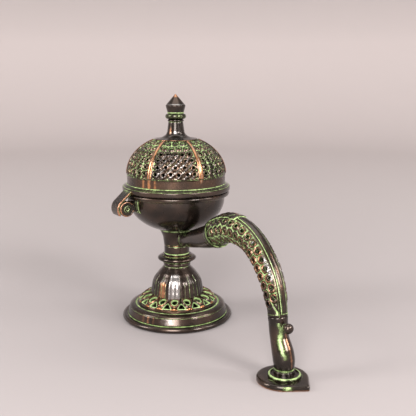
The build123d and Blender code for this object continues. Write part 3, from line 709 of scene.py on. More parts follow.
def makeFootDots():
    # a row of small punched beads along the shoulder
    tree, given = newTree("dotRow",
                          {"Count": "Int", "Ring": "Float", "Height": "Float", "Size": "Float",
                           "Finish": "Material"})
    ring = add(tree, "GeometryNodeMeshCircle",
               {"Vertices": given["Count"], "Radius": given["Ring"]}).outputs[0]
    lift = add(tree, "ShaderNodeCombineXYZ", {2: given["Height"]}).outputs[0]
    raised = add(tree, "GeometryNodeSetPosition", {"Geometry": ring, "Offset": lift}).outputs[0]
    dot = add(tree, "GeometryNodeMeshIcoSphere",
              {"Radius": given["Size"], "Subdivisions": 2}).outputs[0]
    dots = add(tree, "GeometryNodeInstanceOnPoints", {"Points": raised, "Instance": dot}).outputs[0]
    endTree(tree, dots, given["Finish"])
    blank = newPiece("footDots", [(0, 0, 0)], [])
    values = {"Count": footDots["count"], "Ring": footDots["ring"] * mm,
              "Height": footDots["height"] * mm,
              "Size": footDots["size"] * mm, "Finish": finishes["darkPatina"]}
    piece = runTree(blank, tree, values)
    paint(piece, "hollow", np.full(len(piece.data.vertices), 0.5))
    settle(piece, "stand", "dark_patina")


# pierced petal skirt
petals = {"count": 16, "wall": 1.0, "upper": 26.3, "lower": 30.4}


def makePetalSkirt():
    radius, foot, top = sizes("petal_skirt")
    bellRadius = sizes("bell")[0]
    drop = (top - foot - 0.8) / 7
    guide = [(radius, foot), (radius, foot + 0.8)]
    bend = [(radius, foot + 0.8), (radius - 1.3, top - 4.3 * drop),
            (radius - 5.3, top - 1.4 * drop),
            (bellRadius, top)]
    guide += smoothLine(bend, 40)[1:] + [(bellRadius - 3.0, top)]
    outline = measured(guide)
    line, run = outline["line"], outline["run"]
    shoulder = slice(1, -1)
    upperAt = np.interp(-petals["upper"], -line[shoulder, 0], run[shoulder])
    lowerAt = np.interp(-petals["lower"], -line[shoulder, 0], run[shoulder])
    pitch = 1 / petals["count"]

    def spread(turn, along):
        # mm from the petal's centre line, and the ring's radius
        ring = np.interp(along, run, line[:, 0])
        away = np.abs((turn + pitch / 2) % pitch - pitch / 2)
        return away * 2 * pi * ring, ring

    def upperShape(turn, along):
        # 1 on the outline of an arched opening near the bell
        away, _ = spread(turn + pitch / 2, along)
        rise = along - upperAt + 0.2
        stretch = np.where(rise > 0, 3.0, 3.4)
        return np.hypot(away / 2.25, rise / stretch)

    def lowerShape(turn, along):
        # 1 on the outline of a three-cornered opening, its point towards the bell
        away, _ = spread(turn, along)
        rise = along - lowerAt + 0.6
        half = np.clip(2.0 - 0.48 * rise, 0.05, 3)
        return np.maximum(away / half, np.abs(rise) / 2.4)

    def opening(turn, along):
        return np.minimum(upperShape(turn, along) - 1, lowerShape(turn, along) - 1)

    def pattern(turn, along):
        away, _ = spread(turn + pitch / 2, along)
        upper, lower = upperShape(turn, along), lowerShape(turn, along)
        zone = smoothStep(along, 2.0, 3.0)
        bar = bump(upper, 1.62, 0.26) * zone
        tip = bump(np.hypot(away / 2.9, (along - 2.9) / 1.0), 0.45, 0.7)
        raised = np.maximum(bar, tip)
        lift = 1.0 * raised - 0.5 * zone
        nearHole = np.maximum(fallOff(upper, 1.15, 1.5), fallOff(lower, 1.15, 1.6))
        hollow = nearHole * (1 - 0.75 * smoothStep(raised, 0.35, 0.8)) * zone
        hollow = np.maximum(hollow, 0.85 * bump(along, run[-1] - 0.4, 0.7))
        edge = np.maximum(1.05 * tip, 0.7 * smoothStep(bar, 0.3, 1.0))
        return lift, hollow, edge

    piece = turnedSheet("petalSkirt", outline, petals["count"], pattern, opening, (30, 44),
                        "pierced_patina",
                        petals["wall"])
    settle(piece, "stand", "pierced_patina", "petal_skirt")


# bell with long and short flutes
bellFlutes = {"count": 16, "wall": 2.4, "neck": 11.4, "neckHeight": 3.4, "bore": 2.75, "depth": 0.3,
              "shoulder": 2.8, "longTop": 21.0, "shortTop": 14.5}


def makeBell():
    radius, foot, top = sizes("bell")
    tall = top - foot
    neckFoot = (bellFlutes["neck"], top - bellFlutes["neckHeight"])
    curve = smoothLine([(radius, foot), (radius - 0.6, foot + 0.18 * tall),
                        (radius - bellFlutes["shoulder"], foot + 0.5 * tall),
                        neckFoot], 60)
    neck = [(neckFoot[0] - 0.25, neckFoot[1] + 0.5), (neckFoot[0] + 0.15, neckFoot[1] + 1.0),
            (neckFoot[0] + 0.15, top - 0.4), (neckFoot[0] - 0.3, top),
            (bellFlutes["bore"] + 3, top)]
    outline = measured(curve + neck)
    line, run = outline["line"], outline["run"]
    pitch = 1 / bellFlutes["count"]

    def groove(turn, along, shift, reach):
        ring = np.interp(along, run, line[:, 0])
        away = np.abs((turn + shift + pitch / 2) % pitch - pitch / 2) * 2 * pi * ring
        fade = fallOff(along, reach - 3.0, reach)
        width = 0.26 + 0.12 * fallOff(along, 0, reach)
        return bump(away, 0, width) * fade, fade

    def pattern(turn, along):
        ring = np.interp(along, run, line[:, 0])
        longCut, longFade = groove(turn, along, 0, bellFlutes["longTop"])
        shortCut, _ = groove(turn, along, pitch / 2, bellFlutes["shortTop"])
        lobe = np.abs(np.sin(turn / pitch * 2 * pi)) * smoothStep(-along, -bellFlutes["longTop"],
                                                                  -4.0)
        cut = bellFlutes["depth"] * np.maximum(longCut, 0.8 * shortCut)
        lift = 0.2 * lobe * ring / radius - cut - 0.3 * longFade
        neckLine = 0.75 * bump(along, run[len(curve)], 0.55) + 0.6 * bump(along, 0.2, 0.5)
        hollow = np.maximum(np.maximum(longCut, 0.9 * shortCut) * 0.8, neckLine)
        edge = 0.35 * lobe * bump(along, 8, 6)
        return lift, hollow, edge

    piece = turnedSheet("flutedBell", outline, bellFlutes["count"], pattern, None, (22, 66),
                        "dark_patina",
                        bellFlutes["wall"])
    at = pointsOf(piece) / mm
    turned = bearing(at) - frontAt
    lowPart = fallOff(at[:, 2], foot + 0.62 * tall, foot + 0.78 * tall)
    # painted highlight: a silvery patch on the front of the bell, with less green there
    highlightPatch = smoothStep(turned, -22, -15) * fallOff(turned, 6, 9) * lowPart
    paint(piece, "polish", 1.2 * highlightPatch)
    dampen(piece, "hollow", 1 - 0.6 * highlightPatch)
    # painted reflection: copper on the left side of the lower bell
    paint(piece, "edge",
          0.9 * bump(turned, -34, 12) * fallOff(at[:, 2], foot + 0.4 * tall, foot + 0.6 * tall))
    settle(piece, "stand", "dark_patina", "bell")


# turned pieces of the stem
stemTurnings = {"bore": 2.75, "ringNeck": 12.9, "collarLow": 11.0, "collarWaist": 11.8}


def makeStem():
    bore = stemTurnings["bore"]
    radius, foot, top = sizes("stem_ring")
    mid, half = (foot + top) / 2, (top - foot) / 2
    neck = stemTurnings["ringNeck"]
    corners = [(bore, foot, 0), (neck - 0.6, foot, 0.2), (neck, foot + 0.7, 0.25),
               (neck - 0.3, foot + 1.2, 0.2)]
    corners += arc((neck - 0.4, mid + 0.2), radius - neck + 0.4, half - 1.4, -80, 80, 16)
    corners += [(neck - 0.4, top - 1.0, 0.2), (neck + 0.2, top - 0.6, 0.25),
                (neck - 0.5, top, 0.2), (bore, top, 0)]
    marks = [("hollow", 0.62, foot + 0.9, 0.5, 9),
             ("hollow", 0.6, top - 0.8, 0.45, 9)]
    piece = turnPiece("stemRing", corners, 0.7, marks=marks)
    settle(piece, "stand", "dark_patina", "stem_ring")

    radius, foot, top = sizes("stem_drum")
    corners = [(bore, foot, 0), (radius, foot, 0.2), (radius, foot + 0.8, 0.25),
               (radius - 0.5, foot + 1.3, 0.2),
               (radius - 0.15, foot + 1.8, 0.3), (radius - 0.15, top - 1.6, 0.3),
               (radius - 0.5, top - 1.1, 0.2),
               (radius, top - 0.6, 0.25), (radius, top, 0.2), (bore, top, 0)]
    marks = [("hollow", 0.8, foot + 1.2, 0.8, 8),
             ("hollow", 0.6, top - 1.1, 0.45, 8)]
    piece = turnPiece("stemDrum", corners, 0.7, marks=marks)
    settle(piece, "stand", "dark_patina", "stem_drum")

    radius, foot, top = sizes("stem_collar")
    low, waist = stemTurnings["collarLow"], stemTurnings["collarWaist"]
    side = smoothLine([(low, foot + 0.2), (waist, (foot + top) / 2), (radius - 0.4, top - 0.8)], 16)
    corners = [(bore, foot, 0), (low - 0.3, foot, 0.2)] + [(out, up, 0) for out, up in side]
    corners += [(radius, top - 0.5, 0.2), (radius - 0.2, top, 0.2), (bore, top, 0)]
    marks = [("hollow", 0.7, top - 0.4, 0.8, 10),
             ("hollow", 0.6, foot + 0.3, 0.6, 9)]
    piece = turnPiece("stemCollar", corners, 0.7, marks=marks)
    settle(piece, "stand", "dark_patina", "stem_collar")


# bowl and its rim
bowlShape = {"depth": 28.5, "lip": 6.2, "wall": 2.2, "seat": 9.0, "seatThick": 2.5, "bore": 2.75}


def makeBowl():
    radius, foot, lip = sizes("bowl")
    seatRadius = sizes("stem_collar")[0]
    centre = lip - bowlShape["lip"]
    inner, innerDepth = radius - bowlShape["wall"], bowlShape["depth"] - bowlShape["wall"]
    seatFloor = foot + bowlShape["seatThick"]
    start = -degrees(acos(seatRadius / radius))
    innerStart = -degrees(acos(bowlShape["seat"] / inner))
    corners = [(bowlShape["bore"], foot, 0), (seatRadius, foot, 0.2)]
    corners += arc((0, centre), radius, bowlShape["depth"], start, 0, 60)[1:]
    corners += [(radius, lip, 0.5), (inner, lip, 0.6)]
    corners += arc((0, centre), inner, innerDepth, 0, innerStart, 44)
    corners += [(bowlShape["seat"], seatFloor, 0), (bowlShape["bore"], seatFloor, 0)]
    rimFoot = sizes("bowl_rim")[1]
    marks = [("hollow", 0.62, rimFoot - 0.6, 0.8, radius - 2),
             ("hollow", 0.75, foot + 0.5, 0.9, seatRadius - 1)]
    piece = turnPiece("bowlShell", corners, 1.2, 160, marks)
    settle(piece, "stand", "dark_patina", "bowl")

    radius, foot, top = sizes("bowl_rim")
    bore = sizes("bowl")[0] + 0.05
    corners = [(bore, foot, 0), (radius - 1.4, foot, 0.3), (radius - 0.4, foot + 0.7, 0.5),
               (radius - 0.45, foot + 1.3, 0.2), (radius, foot + 1.8, 0.4),
               (radius, top - 0.9, 0.6),
               (radius - 0.9, top, 0.5), (bore, top, 0)]
    marks = [("hollow", 0.5, foot + 0.1, 0.5, radius - 3),
             ("edge", 0.4, top - 0.5, 0.6, radius - 1.2)]
    piece = turnPiece("bowlRim", corners, 0.8, 160, marks)
    settle(piece, "stand", "dark_patina", "bowl_rim")


# lid: pierced dome of six panels between ribs
lidDome = {"wall": 1.8, "bandHeight": 13.4, "panels": 6, "rows": [6, 5, 6, 5, 4, 3],
           "firstRow": 8.5,
           "rowStep": 10.0, "vent": 1.35, "ribGap": 4.4, "ribHalf": 2.3, "ribRise": 0.9,
           "lipRise": 0.8,
           "jitter": 0.4}


def nearest(across, along, spots):
    # distances in mm to the two nearest spots, and how far above the nearest one
    first, second = np.full(np.shape(across), 99.0), np.full(np.shape(across), 99.0)
    above = np.zeros(np.shape(across))
    for sideways, upward in spots:
        reach = np.hypot(across - sideways, along - upward)
        closer = reach < first
        second = np.where(closer, first, np.minimum(second, reach))
        above = np.where(closer, along - upward, above)
        first = np.minimum(first, reach)
    return first, second, above


def scales(first, second, above, vent):
    # lips round the vents, lower on their upper side, and the seams between neighbours
    seam = fallOff(second - first, 0.35, 1.0)
    seam = np.maximum(seam, bump(first, 3.8, 0.35))
    lip = bump(first, vent + 0.85, 0.62) * (1
                                            - 0.55 * smoothStep(above, 0.4, 2.2)) * (1 - 0.8 * seam)
    inner = bump(first, vent + 0.05, 0.22)
    return lip, seam, inner


def makeLidDome():
    radius, foot, flat = sizes("lid_dome")
    plate = sizes("finial_skirt")[0]
    centre = foot + lidDome["bandHeight"]
    rise = (flat - centre) / sqrt(1 - (plate / radius) ** 2)
    slopes = np.linspace(0, acos(plate / radius), 90)
    guide = [(radius, foot)] + [(radius * cos(turn), centre + rise * sin(turn)) for turn in slopes]
    outline = measured(guide + [(plate - 3.0, flat), (2.0, flat)])
    line, run = outline["line"], outline["run"]
    panelFoot, panelTop = run[1], run[len(slopes)]
    shares = np.random.default_rng(11)
    vents = []
    for row, count in enumerate(lidDome["rows"]):
        slope = radians(lidDome["firstRow"] + lidDome["rowStep"] * row)
        ring = radius * cos(slope)
        usable = 2 * pi / lidDome["panels"] - lidDome["ribGap"] / ring
        along = np.interp(slope, slopes, run[1:len(slopes) + 1])
        for place in range(count):
            turn = (pi / lidDome["panels"] + usable * ((place + 0.5) / count - 0.5)) / (2 * pi)
            nudge = shares.uniform(-lidDome["jitter"], lidDome["jitter"], 2)
            vents.append(((turn - 0.5 / lidDome["panels"]) * 2 * pi * ring + nudge[0], along
                          + nudge[1]))

    def flatPlace(turn, along):
        ring = np.interp(along, run, line[:, 0])
        return (turn - 0.5 / lidDome["panels"]) * 2 * pi * ring, ring

    def opening(turn, along):
        across, _ = flatPlace(turn, along)
        return nearest(across, along, vents)[0] - lidDome["vent"]

    def pattern(turn, along):
        across, ring = flatPlace(turn, along)
        lip, seam, inner = scales(*nearest(across, along, vents), lidDome["vent"])
        away = pi * ring / lidDome["panels"] - np.abs(across)
        half = lidDome["ribHalf"] * (1 - 0.25 * smoothStep(along, panelFoot, panelTop))
        inPanel = smoothStep(along, panelFoot + 0.2, panelFoot
                             + 0.9) * fallOff(along, panelTop - 0.6, panelTop + 0.3)
        offRib = smoothStep(away, half, half + 0.5)
        rib = np.sqrt(np.clip(1 - (away / half) ** 2, 0, 1)) * inPanel
        sill = bump(along, panelFoot + 0.15, 0.45)
        relief = inPanel * offRib
        lift = (lidDome["lipRise"] * lip - 0.4 * seam
                - 0.3) * relief + lidDome["ribRise"] * rib + 0.35 * sill * offRib
        crown = smoothStep(along, panelTop - 15, panelTop - 7)
        hollow = np.maximum((0.88 + 0.1 * crown) * seam, (0.78 + 0.2 * crown) * inner) * relief
        hollow = np.maximum(hollow, 0.55 * crown * (1 - lip) * relief)
        hollow = np.maximum(hollow, 0.66 * sill)
        hollow = np.maximum(hollow, 0.72 * bump(away, half + 0.25, 0.3) * inPanel)
        hollow = np.maximum(hollow, 0.95 * bump(along, panelTop + 0.2, 0.55))
        hollow = np.maximum(hollow, 0.72 * bump(along, 6.2, 0.4))
        edge = np.maximum(0.5 * lip * relief, (0.95 - 0.35 * crown) * rib)
        return lift, hollow, edge

    piece = turnedSheet("lidDome", outline, lidDome["panels"], pattern, opening, (76, 102),
                        "pierced_patina",
                        lidDome["wall"])
    at = pointsOf(piece) / mm
    # painted reflection: a silvery band with slanted streaks on the front panels, with less green
    # there
    facing = np.abs((bearing(at) - frontAt + 180) % 360 - 180)
    front = fallOff(facing, 20, 26) * smoothStep(at[:, 2], centre, centre + 1.5)
    front *= fallOff(at[:, 2], centre + 17, centre + 24)
    dampen(piece, "hollow", 1 - 0.5 * front)
    around = bearing(at)
    streak = np.abs((at[:, 2] - 0.6 * around) % 5.2 - 2.6)
    paint(piece, "polish", front * (0.3 + 0.4 * fallOff(streak, 0.3, 1.5)))
    pitch = 360 / lidDome["panels"]
    fromRib = np.radians(np.abs((around + pitch / 2) % pitch
                                - pitch / 2)) * np.hypot(at[:, 0], at[:, 1])
    # painted highlight down the middle of each rib
    onRib = bump(fromRib, 0, 0.5) * smoothStep(at[:, 2], foot + 6.4, centre) * (at[:, 2] < flat - 3)
    paint(piece, "polish", 0.85 * onRib)
    # copper along the ribs and down onto the band: rib wear, and a painted reflection where it
    # reaches the band
    paint(piece, "edge", 0.85 * bump(fromRib, 0, 2.0) * smoothStep(at[:, 2], foot + 6.4, centre))
    # painted reflection: coppery vertical stripes on the band's left side
    band = fallOff(at[:, 2], centre - 0.6, centre)
    leftward = bump(around, frontAt - 32, 17)
    stripes = 0.55 + 0.45 * np.sin(np.radians(around) * 46)
    paint(piece, "edge", 0.9 * band * leftward * stripes)
    settle(piece, "lid", "pierced_patina", "lid_dome")


lidRing = {"height": 3.7}


def makeLidRing():
    radius, foot, top = sizes("lid_ring")
    bore = sizes("lid_dome")[0] + 0.05
    edgeTop = foot + lidRing["height"]
    corners = [(bore, foot, 0), (radius - 0.7, foot, 0.4), (radius, foot + 0.6, 0.5),
               (radius, edgeTop - 0.2, 0.4),
               (radius - 0.5, edgeTop + 0.35, 0.35), (radius - 1.0, edgeTop + 0.15, 0.25),
               (radius - 1.5, edgeTop + 0.9, 0.4), (bore + 0.9, top - 0.75, 0.4),
               (bore + 0.5, top - 0.2, 0.25),
               (bore, top, 0)]
    piece = weather(lathe("lidRing", rounded(corners, 0.6), 160))
    out, up = roundPlaces(piece)
    paint(piece, "hollow", 0.8 * bump(np.hypot(out - radius + 0.9, up - edgeTop - 0.2), 0, 0.5))
    paint(piece, "hollow", 0.85 * bump(np.hypot(out - bore - 0.4, up - top + 0.3), 0, 0.6))
    paint(piece, "hollow", 0.46 * (up > edgeTop + 0.2))
    settle(piece, "lid", "dark_patina", "lid_ring")


# finial
finialTurnings = {"bore": 1.65, "edge": 0.8, "skirtHeight": 4.4, "neckLow": 7.3, "neckTop": 6.2,
                  "budFoot": 6.7,
                  "budWide": 6.6}


def makeFinial():
    shape = finialTurnings
    bore = shape["bore"]
    radius, foot, top = sizes("finial_skirt")
    edgeTop = foot + shape["edge"]
    flare = smoothLine([(radius - 0.3, edgeTop), (shape["neckLow"] + 4.6, edgeTop + 1.1),
                        (shape["neckLow"] + 1.2, edgeTop + shape["skirtHeight"] * 0.72),
                        (shape["neckLow"] - 0.1, edgeTop + shape["skirtHeight"] + 1.0)], 24)
    corners = [(bore, foot, 0), (radius - 0.3, foot, 0.2), (radius, foot + 0.4, 0.25)]
    corners += [(out, up, 0) for out, up in flare]
    corners += [(shape["neckTop"], top - 2.6, 0.5), (shape["neckTop"] - 0.3, top - 2.0, 0.2),
                (shape["neckTop"] + 0.5, top - 1.5, 0.3), (shape["neckTop"] + 0.5, top - 0.6, 0.3),
                (shape["neckTop"] - 0.4, top, 0.2), (bore, top, 0)]
    marks = [("hollow", 0.8, top - 1.9, 0.45, 5),
             ("edge", 0.55, foot + 0.3, 0.5, radius - 1)]
    piece = turnPiece("finialNeck", corners, 0.7, 112, marks)
    at = pointsOf(piece) / mm
    around = bearing(at)
    # painted reflection: copper on the left side of the neck
    paint(piece, "edge", 0.8 * bump(around, frontAt - 38, 20) * bump(at[:, 2], edgeTop + 7, 5))
    # painted highlight low on the front of the neck
    paint(piece, "polish", 0.9 * bump(around, frontAt, 24) * bump(at[:, 2], edgeTop + 5, 2.2))
    settle(piece, "lid", "dark_patina", "finial_skirt")

    radius, foot, top = sizes("finial_collar")
    mid = (foot + top) / 2
    corners = [(bore, foot, 0), (radius - 2.4, foot, 0.2), (radius - 1.6, foot + 0.6, 0.2)]
    corners += arc((radius - 1.5, mid + 0.1), 1.5, (top - foot) / 2 - 0.35, -70, 70, 12)
    corners += [(radius - 1.5, top - 0.25, 0.1), (radius - 2.1, top, 0.1), (bore, top, 0)]
    piece = weather(lathe("finialCollar", rounded(corners, 0.6), 112))
    out, up = roundPlaces(piece)
    paint(piece, "hollow", 0.5 * (out > radius - 2.0))
    settle(piece, "lid", "dark_patina", "finial_collar")

    radius, foot, top = sizes("finial_bud")
    wide = foot + shape["budWide"]
    corners = [(0, foot + 4.0, 0), (bore, foot + 4.0, 0), (bore, foot, 0),
               (shape["budFoot"] - 0.3, foot, 0.2),
               (shape["budFoot"] + 0.2, foot + 0.5, 0.3), (shape["budFoot"] + 0.1, foot + 1.2, 0.3),
               (radius, wide, 0.5), (radius * 0.55, wide + (top - wide) * 0.46, 2.5),
               (0.35, top - 0.15, 0.2), (0, top, 0)]
    piece = weather(lathe("finialBud", rounded(corners, 0.6), 112))
    out, up = roundPlaces(piece)
    paint(piece, "hollow", 0.95 * bump(up, foot + 0.6, 0.7) * (out > 3))
    paint(piece, "edge", 0.9 * smoothStep(up, top - 4.5, top - 1.5))
    # painted highlight: a pale ring just above the bud's widest point
    paint(piece, "polish", 0.9 * bump(up, wide + 0.9, 0.6) * (out > radius * 0.6))
    settle(piece, "lid", "dark_patina", "finial_bud")


# handle: everything is laid along one route from the stem to the foot
handle = {
    "spigot": 5.0, "rootRise": 6.5,
    "fromRoot": [(21.5, 4.8), (45.5, 12.2), (72, 22.6), (94.5, 20.9), (115, 7.5)],
    "fromFoot": [(-11, 47.7), (-7.6, 30.4), (-5.4, 19), (-1.6, 10.1)],
    "girths": [(0, 5.4), (0.11, 7.6), (0.235, 9.8), (0.30, 10.9), (0.40, 10.9), (0.46, 10),
               (0.52, 9.2), (0.61, 8.75),
               (0.66, 8.7), (0.75, 7.8), (0.84, 6.75), (0.895, 6.65), (0.94, 7.6), (0.97, 7.7),
               (1, 7)],
    "sleeve": (0.272, 0.815), "play": 0.15,
}


def handleRoute():
    def middle(node, axis):
        return (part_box(node)[0][axis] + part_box(node)[1][axis]) / 2 / mm

    root = np.array((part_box("handle_root")[0].x / mm + handle["spigot"],
                     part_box("stem_collar")[0].z / mm + handle["rootRise"]))
    foot = np.array((middle("foot_screw", 0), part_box("foot_boss")[1].z / mm))
    knots = np.array([root, *(root + step for step in np.array(handle["fromRoot"])),
                      *(foot + step for step in np.array(handle["fromFoot"])), foot])
    # a smooth curve through the knots, level at the stem and upright at the foot
    gaps = np.hypot(*np.diff(knots, axis=0).T)
    last = len(knots) - 1
    rows, known = np.eye(last + 1), np.zeros((last + 1, 2))
    known[0], known[last] = (1, 0), (0, -1)
    for k in range(1, last):
        before, after = 1 / gaps[k - 1], 1 / gaps[k]
        rows[k, k - 1:k + 2] = before, 2 * (before + after), after
        known[k] = 3 * ((knots[k] - knots[k - 1]) * before ** 2
                        + (knots[k + 1] - knots[k]) * after ** 2)
    slopes = np.linalg.solve(rows, known)
    dense = []
    for k in range(last):
        for t in np.linspace(0, 1, 60, endpoint=False):
            dense.append((2 * t ** 3 - 3 * t ** 2 + 1) * knots[k]
                         + (3 * t ** 2 - 2 * t ** 3) * knots[k + 1]
                         + gaps[k] * ((t ** 3 - 2 * t ** 2 + t) * slopes[k]
                                      + (t ** 3 - t ** 2) * slopes[k + 1]))
    path = measured([*dense, knots[-1]])
    shares = np.linspace(0, 1, 401)
    spots = np.c_[[np.interp(shares * path["length"], path["run"], path["line"][:, axis])
                   for axis in (0, 1)]].T
    return {"share": shares, "spots": spots, "length": path["length"]}


route = handleRoute()


def girth(place):
    return np.interp(place, *np.array(handle["girths"]).T)


def station(place):
    # centre, direction and outer side of the handle at one place
    spot = [np.interp(place, route["share"], route["spots"][:, axis]) for axis in (0, 1)]
    low, high = max(place - 0.004, 0), min(place + 0.004, 1)
    step = [np.interp(high, route["share"], route["spots"][:, axis])
            - np.interp(low, route["share"], route["spots"][:, axis]) for axis in (0, 1)]
    on = np.array((step[0], 0, step[1])) / hypot(*step)
    return np.array((spot[0], 0, spot[1])), on, np.cross(on, (0, 1, 0))


def spanLength(span):
    return (span[1] - span[0]) * route["length"]


def hoop(place, radius, shift=0.0, sides=72):
    centre, on, outer = station(place)
    turn = np.linspace(0, 2 * pi, sides, endpoint=False)[:, None]
    return centre + on * shift + radius * (np.cos(turn) * outer
                                           + np.sin(turn) * np.array((0, 1, 0)))


def onHandle(name, span, halfTurn, fine, pattern, opening, wall, lift, slot):
    # pattern and opening work in mm: along from the span's start, across from the outer side
    guide = guideCurve(name + "Guide", [(x, 0, z) for x, z in route["spots"]],
                       girth(route["share"]))
    across = np.linspace(*span, fine[0] + 1)
    up = np.linspace(-halfTurn, halfTurn, fine[1] + 1)

    def toMm(place, turn):
        return (place - span[0]) * route["length"], turn * girth(place), turn, place

    def lifted(place, turn):
        raised, hollow, edge = pattern(*toMm(place, turn))
        return raised + lift, hollow, edge

    flat = sheet(name, across, up, lifted, (lambda x, y: opening(*toMm(x, y))) if opening else None)
    piece = runTree(flat, wrapRoute, {"Route": guide, "Finish": finishes[slotFinish[slot]]}, wall)
    bpy.data.objects.remove(guide)
    return piece


sleeve = {"wall": 1.7, "vent": 1.5, "rows": [(48.0, 15, 0.0), (90.0, 15, 0.5), (135.0, 13, 0.0)],
          "margin": 0.03,
          "lipRise": 0.75, "plain": 28.0}


def makeSleeve():
    start, end = handle["sleeve"]
    first, last = start + sleeve["margin"], end - sleeve["margin"]
    vents = []
    for angle, count, shift in sleeve["rows"]:
        for index in range(count):
            place = first + (last - first) * (index + shift) / count
            for side in (1, -1):
                vents.append((side * radians(angle) * girth(place),
                              (place - start) * route["length"]))
    under = pi * girth((start + end) / 2)
    far = spanLength(handle["sleeve"])

    def opening(along, across, turn, place):
        return nearest(across, along, vents)[0] - sleeve["vent"]

    def pattern(along, across, turn, place):
        near, after, _ = nearest(across, along, vents)
        toSpine = np.abs(across) - radians(sleeve["plain"]) * girth(place)
        lip, seam, inner = scales(near, after, -toSpine * 0.25, sleeve["vent"])
        zone = smoothStep(toSpine, 0.0,
                          0.7) * smoothStep(along, 0.8, 1.6) * fallOff(along, far - 2.4, far - 1.4)
        lift = (sleeve["lipRise"] * lip - 0.4 * seam - 0.25) * zone
        border = bump(toSpine, 0.1, 0.38) * smoothStep(along, 0.8, 1.6)
        ends = np.maximum(bump(along, 1.0, 0.5), bump(along, far - 1.6, 0.5))
        upper = fallOff(place, 0.5, 0.66)
        hollow = np.maximum(0.86 * seam, 0.9 * upper * inner) * zone
        hollow = np.maximum(hollow, 0.85 * border)
        hollow = np.maximum(hollow, 0.8 * ends)
        hollow = np.maximum(hollow, 0.42 * smoothStep(np.abs(across), 0.6 * under, 0.9 * under))
        edge = np.maximum(0.66 * lip * zone, 0.3 * fallOff(toSpine, -3.0, -0.5))
        return lift + 0.3 * border, hollow, edge

    piece = onHandle("handleSleeve", handle["sleeve"], pi, (196, 104), pattern, opening,
                     sleeve["wall"], -0.1,
                     "pierced_patina")
    place, turn, _ = turnOn(piece)
    # painted highlight: a silvery spot beside the spine on both sides, with less green there
    sheenSpot = bump(place, 0.66, 0.055) * bump(np.abs(turn), 36, 13)
    dampen(piece, "hollow", 1 - 0.5 * sheenSpot)
    paint(piece, "polish", 1.1 * sheenSpot)
    settle(piece, "stand", "pierced_patina", "handle_sleeve")


grip = {"flange": 6.6, "flangeLong": 2.2, "spigot": 3.0, "streak": (0.838, 0.955),
        "streakAt": -33.0}


def turnOn(piece):
    # for every point: its place along the handle and its angle from the outer side
    at = pointsOf(piece) / mm
    gaps = ((at[:, None, ::2] - route["spots"][None, ::4]) ** 2).sum(2)
    place = route["share"][::4][gaps.argmin(1)]
    outer = np.array([station(one)[2] for one in route["share"][::4]])[gaps.argmin(1)]
    centre = route["spots"][::4][gaps.argmin(1)]
    outward = (at[:, 0] - centre[:, 0]) * outer[:, 0] + (at[:, 2] - centre[:, 1]) * outer[:, 2]
    return place, np.degrees(np.arctan2(at[:, 1], outward)), at


def makeHandleEnds():
    start, end = handle["sleeve"]
    rings = [hoop(0, 0.4, -handle["spigot"]), hoop(0, grip["spigot"] - 0.4, -handle["spigot"]),
             hoop(0, grip["spigot"], -handle["spigot"] + 0.4), hoop(0, grip["spigot"], 0),
             hoop(0, grip["flange"] - 0.4, 0), hoop(0, grip["flange"], 0.4),
             hoop(0, grip["flange"], grip["flangeLong"] - 0.5),
             hoop(0, grip["flange"] - 0.5, grip["flangeLong"]),
             hoop(0, girth(0.02) + 0.2, grip["flangeLong"] + 0.2)]
    rings += [hoop(place, girth(place)) for place in np.linspace(0.02, start - 0.003, 44)]
    rings += [hoop(start - 0.001, girth(start) - 0.6), hoop(start - 0.001, 0.5)]
    piece = weather(tube("handleRoot", rings))
    place, turn, at = turnOn(piece)
    over = np.abs(turn)
    paint(piece, "hollow",
          0.8 * bump(at[:, 0], rings[0][0][0] + handle["spigot"] + grip["flangeLong"] + 0.5, 0.9))
    paint(piece, "hollow",
          0.62 * fallOff(over, 10, 34) * smoothStep(place, 0.02, 0.05) * fallOff(place, 0.10, 0.16))
    paint(piece, "hollow", 0.8 * smoothStep(place, start - 0.02, start - 0.006))
    settle(piece, "stand", "handle_patina", "handle_root")

    rings = [hoop(end + 0.001, 0.5), hoop(end + 0.001, girth(end) - 0.6),
             hoop(end + 0.003, girth(end) - 0.15)]
    rings += [hoop(place, girth(place)) for place in np.linspace(end + 0.006, 0.997, 60)]
    rings += [hoop(1.0, girth(1.0) - 0.5), hoop(1.0, 3.0)]
    piece = weather(tube("handleShank", rings))
    place, turn, at = turnOn(piece)
    low, high = grip["streak"]
    wander = grip["streakAt"] + 10 * np.sin((place - low) * 60)
    away = np.abs((turn - wander + 180) % 360 - 180)
    within = smoothStep(place, low - 0.012, low + 0.004) * fallOff(place, high, high + 0.02)
    paint(piece, "hollow", 0.72 * bump(away, 0, 24) * within)
    paint(piece, "hollow", 0.6 * fallOff(place, end + 0.001, end + 0.005))
    paint(piece, "hollow", 0.8 * smoothStep(place, 0.985, 0.998))
    # painted highlight: a narrow copper line along the outer side of the lower shank
    paint(piece, "edge",
          0.72 * bump(np.abs((turn - 6 + 180) % 360 - 180), 0, 11) * smoothStep(place, 0.85, 0.88))
    settle(piece, "stand", "handle_patina", "handle_shank")


def placed(piece, origin, axis):
    # a piece turned about Z is set down with its axis along another direction
    turn = Vector((0, 0, 1)).rotation_difference(Vector(axis)).to_matrix().to_4x4()
    piece.data.transform(Matrix.Translation(Vector(origin) * mm) @ turn)
    return piece


knob = {"place": 0.852, "radius": 3.6, "rise": 4.6, "stem": 1.7, "sunk": 2.8}


